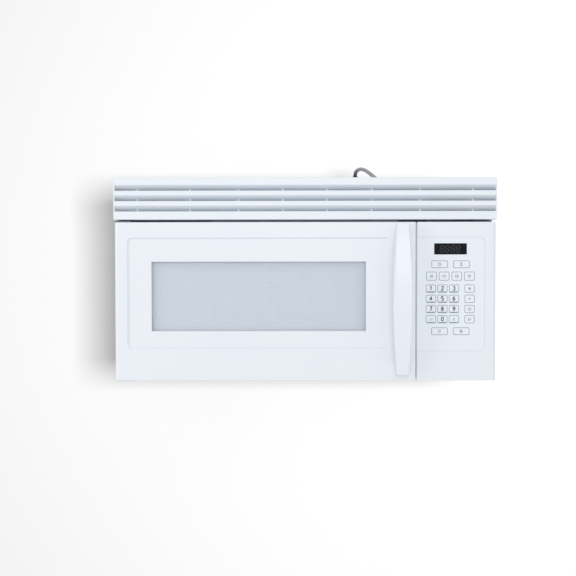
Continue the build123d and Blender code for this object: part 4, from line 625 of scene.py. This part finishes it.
def as_piece(mesh, name, material, body):
    """Turn the drawn mesh into a piece that rides on a body and takes its finish from a slot."""
    data = bpy.data.meshes.new(name)
    mesh.to_mesh(data)
    mesh.free()
    data.materials.append(material)
    piece = bpy.data.objects.new(name, data)
    bpy.context.scene.collection.objects.link(piece)
    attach(piece, body)
    print(name, "has", len(data.polygons), "faces")


# %% [markdown]
# ## Key outlines
# The keys stand in rows, measured on the photograph in millimetres: two wide keys, four square ones,
# a block of twelve with a column beside it, and two wide keys again. Each row is made by its pitch,
# so one number moves the whole row.

# %% Outlines of the keys
ink = {"gloss": 0.6, "grain_mm": 0.3, "grain_depth_mm": 0.002}
print_grey = finish("print_grey", (134, 142, 157), **ink)
print_shade = finish("print_shade", (150, 158, 172), **ink)
wide_key, square_key, number_key = (32.5, 15.0), (20.7, 17.6), (20.0, 16.0)
wide_off, menu_pitch, number_pitch = 21.5, 25.0, (22.85, 20.25)
numbers_off, side_off = -15.75, 38.0
top_z, menu_z, fan_z = -83.9, -107.4, -216.6
number_rows = [-132.1 - number_pitch[1] * row for row in range(4)]
top_row = [((x, top_z), wide_key) for x in (-wide_off, wide_off)]
menu_row = [((menu_pitch * (k - 1.5), menu_z), square_key) for k in range(4)]
number_block = [
    ((numbers_off + number_pitch[0] * column, z), number_key)
    for z in number_rows
    for column in (-1, 0, 1)
]
side_column = [((side_off, z), number_key) for z in number_rows]
fan_row = [((x, fan_z), wide_key) for x in (-wide_off, wide_off)]


def on_panel(place):
    """A key's place on the panel, from millimetres off the keys' middle and the panel's top."""
    return keys_middle + place[0] * mm, panel_top + place[1] * mm


outlines = bmesh.new()
outline_inset, key_corner, outline_pen = 1.2, 2.0 * mm, 1.0 * mm
for place, size in top_row + menu_row + number_block + side_column + fan_row:
    outline_size = [(edge - outline_inset) * mm for edge in size]
    ribbon(outlines, rounded(on_panel(place), outline_size, key_corner), outline_pen, closed=True)
as_piece(outlines, "key_outlines", print_grey, "cabinet")

# %% Thicker lower edges of the number keys
lower_edges = bmesh.new()
half_edge = (number_key[0] / 2 - 2.6) * mm
edge_drop = (number_key[1] / 2 - 1.9) * mm
edge_pen = 1.5 * mm
for place, _ in number_block:
    x, z = on_panel(place)
    lower_edge = [(x - half_edge, z - edge_drop), (x + half_edge, z - edge_drop)]
    ribbon(lower_edges, lower_edge, edge_pen)
as_piece(lower_edges, "key_lower_edges", print_shade, "cabinet")

# %% [markdown]
# ## Digits
# A type face would bring a file from outside and many points for each figure. At this size a few
# strokes of the pen do, in a square that runs from -1 to 1. Round parts are pieces of a circle, and
# the nine is the six turned round.

# %% Digits
digit_ink = finish("digit_ink", (66, 74, 88), **ink)


def ring_of(radius, middle=(0.0, 0.0), steps=16, start=0.0, sweep=360.0):
    """Points round a circle, or part of one, in a sign's own square."""
    return [
        (
            middle[0] + radius * cos(radians(start + sweep * k / steps)),
            middle[1] + radius * sin(radians(start + sweep * k / steps)),
        )
        for k in range(steps + 1)
    ]


upper_hook = ring_of(0.6, (0.0, 0.42), 8, 160, -200)
six = [(0.45, 0.98), (-0.25, 0.6), (-0.6, 0.0), *ring_of(0.6, (0.0, -0.4), 12, 180, 360)]
strokes_of = {
    "0": [[(x * 0.62, z) for x, z in ring_of(1.0)]],
    "1": [[(-0.5, 0.6), (0.1, 1.0), (0.1, -1.0)]],
    "2": [[*upper_hook, (-0.6, -0.98), (0.65, -0.98)]],
    "3": [ring_of(0.52, (0.0, 0.48), 8, 150, -230), ring_of(0.58, (0.0, -0.42), 8, 80, -230)],
    "4": [[(0.3, -1.0), (0.3, 0.95), (-0.68, -0.35), (0.75, -0.35)]],
    "5": [[(0.55, 0.98), (-0.45, 0.98), (-0.52, 0.1), *ring_of(0.62, (0.0, -0.38), 8, 110, -250)]],
    "6": [six],
    "7": [[(-0.62, 0.98), (0.62, 0.98), (-0.15, -1.0)]],
    "8": [ring_of(0.47, (0.0, 0.5), 12), ring_of(0.56, (0.0, -0.44), 12)],
    "9": [[(-x, -z) for x, z in six]],
}
digits = bmesh.new()
half_digit, digit_lift, digit_pen = (3.3, 3.9), 0.7, 1.7 * mm
for digit, (place, _) in zip("123456789 0 ", number_block):
    x, z = on_panel(place)
    for stroke in strokes_of.get(digit, []):
        line = [
            (x + across_by * half_digit[0] * mm, z + (digit_lift + up_by * half_digit[1]) * mm)
            for across_by, up_by in stroke
        ]
        ribbon(digits, line, digit_pen)
as_piece(digits, "key_digits", digit_ink, "cabinet")

# %% [markdown]
# ## Signs on the other keys
# Each sign is a few strokes in the same kind of square: a clock, a timer glass, a cup, a snow star
# for thawing, a triangle for start. Lists of strokes keep the drawing readable, and one loop places
# them all.


# %% Signs
signs = {
    "clock": [ring_of(0.9), [(0.0, 0.55), (0.0, 0.0), (0.42, -0.2)]],
    "timer": [[(-0.6, 0.9), (0.6, 0.9), (-0.6, -0.9), (0.6, -0.9), (-0.6, 0.9)]],
    "steam": [[(x, -0.8), (x - 0.2, -0.3), (x + 0.2, 0.3), (x, 0.8)] for x in (-0.6, 0.0, 0.6)],
    "potato": [
        [(x, z * 0.62) for x, z in ring_of(0.95)],
        [(-0.25, 0.1), (-0.1, 0.1)],
        [(0.2, -0.1), (0.35, -0.1)],
    ],
    "cup": [
        [(-0.7, 0.6), (-0.6, -0.7), (0.4, -0.7), (0.5, 0.6), (-0.7, 0.6)],
        ring_of(0.32, (0.55, 0.0), 8, -80, 160),
    ],
    "slice": [[(-0.85, 0.6), (0.85, 0.6), (0.0, -0.9), (-0.85, 0.6)], [(-0.15, 0.2), (0.1, 0.2)]],
    "snow": [
        [(-cos(a) * 0.9, -sin(a) * 0.9), (cos(a) * 0.9, sin(a) * 0.9)]
        for a in (pi / 6, pi / 2, 5 * pi / 6)
    ],
    "plus": [[(-0.75, 0.0), (0.75, 0.0)], [(0.0, -0.75), (0.0, 0.75)]],
    "stop": [[(-0.65, 0.65), (0.65, 0.65), (0.65, -0.65), (-0.65, -0.65), (-0.65, 0.72)]],
    "start": [[(-0.55, 0.8), (0.75, 0.0), (-0.55, -0.8), (-0.55, 0.88)]],
    "power": [[(-0.7, -0.8), (-0.7, -0.2)], [(0.0, -0.8), (0.0, 0.3)], [(0.7, -0.8), (0.7, 0.8)]],
    "hold": [[(-0.35, -0.75), (-0.35, 0.75)], [(0.35, -0.75), (0.35, 0.75)]],
    "lamp": [
        ring_of(0.6, (0.0, 0.25), 12, -60, 300),
        [(-0.3, -0.35), (0.3, -0.35)],
        [(-0.3, -0.65), (0.3, -0.65)],
    ],
    "fan": [
        ring_of(0.42, (0.46 * cos(a), 0.46 * sin(a)), 8) for a in (pi / 2, pi * 7 / 6, pi * 11 / 6)
    ],
}
sign_places = list(zip(("clock", "timer"), top_row))
sign_places += zip(("steam", "potato", "cup", "slice"), menu_row)
sign_places += zip(("snow", "plus", "stop", "start"), side_column)
sign_places += [("power", number_block[9]), ("hold", number_block[11])]
sign_places += zip(("lamp", "fan"), fan_row)
sign_print = bmesh.new()
half_sign, sign_pen = 3.5 * mm, 0.7 * mm
for name, (place, _) in sign_places:
    x, z = on_panel(place)
    for stroke in signs[name]:
        line = [(x + across_by * half_sign, z + up_by * half_sign) for across_by, up_by in stroke]
        ribbon(sign_print, line, sign_pen)
as_piece(sign_print, "key_signs", digit_ink, "cabinet")
print("signs printed", len(sign_places))

# %% [markdown]
# ## A display that is switched off
# An unlit display still shows its segments as a slightly lighter grey under the smoked window. Seven
# short bars make each figure, and two dots stand between the hours and the minutes.

# %% Unlit segments
segment_grey = finish("segment_grey", (56, 58, 61), gloss=0.4, grain_mm=0.4, grain_depth_mm=0.002)
segment_height = 0.03 * mm
lens_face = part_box("display_lens")[0][1] - segment_height
display_z = panel_top - 53.5 * mm
figure_places = (-16.8, -6.6, 4.9, 15.1)
half_figure = (3.3 * mm, 6.3 * mm)
segment_pen, segment_gap = 1.15 * mm, 0.9 * mm
slant = 0.10
segments = bmesh.new()


def on_display(middle, x, z):
    """A point of the display, from a figure's middle in millimetres, leaning as the figures do."""
    return keys_middle + middle * mm + x + slant * z, display_z + z


left, right = -half_figure[0], half_figure[0]
foot, top = -half_figure[1], half_figure[1]
flat = [((left + segment_gap, z), (right - segment_gap, z)) for z in (top, 0.0, foot)]
standing = [
    ((x, start + segment_gap), (x, end - segment_gap))
    for x in (left, right)
    for start, end in ((foot, 0.0), (0.0, top))
]
for middle in figure_places:
    for segment in flat + standing:
        line = [on_display(middle, x, z) for x, z in segment]
        ribbon(segments, line, segment_pen, depth=lens_face)

colon_place, dot_off, half_dot, dot_pen = -0.9, 2.6 * mm, 0.6 * mm, 1.2 * mm
for z in (-dot_off, dot_off):
    dot = [on_display(colon_place, x, z) for x in (-half_dot, half_dot)]
    ribbon(segments, dot, dot_pen, depth=lens_face)
as_piece(segments, "display_segments", segment_grey, "cabinet")

# %% [markdown]
# ## The supply cord
# The cord leaves the top of the case, stands up out of its relief, folds over and comes down behind
# the grille, where its length lies in a flat coil with its plug. A cord is one smooth curve, so it is
# one NURBS line with a round section; the points are the route of the drawing, and the coil's turns
# are more points of the same line. Over its first two centimetres the grey darkens to nearly black
# towards the relief: painted shade where the cord rises out of it.

# %% Route of the cord
jacket = 8.0 * mm
cord_exit = Vector((113.5, 25.25, 428.0)) * mm
route = [
    (0.0, 0.0, 0.0),
    (0.0, 0.0, 6.0),
    (3.8, 0.8, 12.5),
    (13.0, 1.6, 16.5),
    (27.0, 2.0, 11.0),
    (56.0, 1.2, -14.0),
    (74.0, 0.0, -19.75),
]
cord_points = [cord_exit + Vector(p) * mm for p in route]
coil_middle = Vector((219.5, 71.75, 408.25)) * mm
coil_inner = 33.6 * mm
layer = 8.6 * mm
coil_steps = 16
spread = 1.0 / cos(pi / coil_steps) ** 0.5
coil_front = -46.5 * mm
cord_points.append(coil_middle + Vector((-8.0 * mm, coil_front, 0.0)))
for k in range(3 * coil_steps + 1):
    turns = k / coil_steps
    angle = 2 * pi * turns - pi / 2
    past = turns - 1.5
    reach = (coil_inner + layer * abs(past)) * spread
    rise = min(max(past / 0.5 + 0.5, 0.0), 1.0)
    cord_points.append(coil_middle + Vector((reach * cos(angle), reach * sin(angle), layer * rise)))
plug_z = 413.5 * mm - coil_middle.z
for off_mm, z in ((10.0, layer), (15.5, layer), (26.5, plug_z), (32.0, plug_z)):
    cord_points.append(coil_middle + Vector((off_mm * mm, coil_front, z)))
print("cord drawn through", len(cord_points), "points")

# %% One line with a round section
cord_line = bpy.data.curves.new("supply_cord", "CURVE")
cord_line.dimensions = "3D"
run = cord_line.splines.new("NURBS")
run.points.add(len(cord_points) - 1)
for point, place in zip(run.points, cord_points):
    point.co = (*place, 1.0)
run.use_endpoint_u = True
run.order_u = 3
run.resolution_u = 6
cord_line.bevel_depth = jacket / 2
cord_line.bevel_resolution = 5
supply_cord = bpy.data.objects.new("supply_cord", cord_line)
bpy.context.scene.collection.objects.link(supply_cord)
print("cord", round(2 * cord_line.bevel_depth / mm, 1), "mm thick")

# %% Rubber, and what the cord is
cord_grey = finish("cord_grey", (160, 159, 162), gloss=0.32, grain_mm=0.7, grain_depth_mm=0.02)
vary_colour(cord_grey, cord_grey.node_tree.nodes["slow_drift"], 0.5, (138, 138, 142))
# painted shade: the cord's grey darkens to nearly black where it rises from its relief
darken_near(cord_grey, cord_exit, 5.0 * mm, 19.0 * mm, (40, 40, 42))
relief_black = finish("relief_black", (30, 30, 32), gloss=0.5, grain_mm=0.6, grain_depth_mm=0.03)
tie_black = finish("tie_black", (38, 38, 40), gloss=0.36, grain_mm=0.5)
cord_line.materials.append(cord_grey)
dress(cord_grey, "power_plug")
dress(relief_black, "strain_relief")
dress(tie_black, "cord_tie")
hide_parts("cord_run", "cord_coil")
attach(supply_cord, "cabinet")

# %% [markdown]
# ## Soft edges
# A moulded handle has no knife edges. Rather than touch the drawing's mesh, a Bevel modifier rounds
# every sharp edge as the picture is made, and smooth shading follows it.


# %% Rounding
def round_edges(name, width_mm, angle=25.0, segments=3):
    """Round a piece's edges by this width, where its faces meet at more than angle degrees."""
    piece = parts[name]
    bevel = piece.modifiers.new("soft_edges", "BEVEL")
    bevel.width = width_mm * mm
    bevel.segments = segments
    bevel.limit_method = "ANGLE"
    bevel.angle_limit = radians(angle)
    bevel.harden_normals = True
    print(name, "rounded by", width_mm, "mm")


round_edges("door_handle", 1.6)
round_edges("power_plug", 1.2, angle=40.0, segments=2)

# %% [markdown]
# ## A crisper end for the sunk field
# The drawing lets the door's sunk field run out in a gentle ramp beside the handle. In the photograph
# it ends there in a step, as it does on its other three sides. A vertex group marks the ramp, with
# weights that grow from its head to its foot, and a Displace modifier pushes it up steep by them.

# %% The step beside the handle
door_frame = parts["door_frame"]
ramp_foot, ramp_head = 136.1 * mm, 164.1 * mm
field_depth, step_run, tolerance = 3.5 * mm, 3.0 * mm, 0.1 * mm
ramp = door_frame.vertex_groups.new(name="ramp")
for vertex in door_frame.data.vertices:
    share = (ramp_head - vertex.co.x) / (ramp_head - ramp_foot)
    off_ramp = abs(vertex.co.y - (door_front + share * field_depth))
    if 0.01 < share < 1.01 and off_ramp < tolerance:
        ramp.add([vertex.index], share, "REPLACE")
steepen = door_frame.modifiers.new("steep_step", "DISPLACE")
steepen.direction = "X"
steepen.mid_level = 0.0
steepen.strength = ramp_head - ramp_foot - step_run
steepen.vertex_group = ramp.name
print("ramp pushed up by at most", round(steepen.strength / mm), "mm")
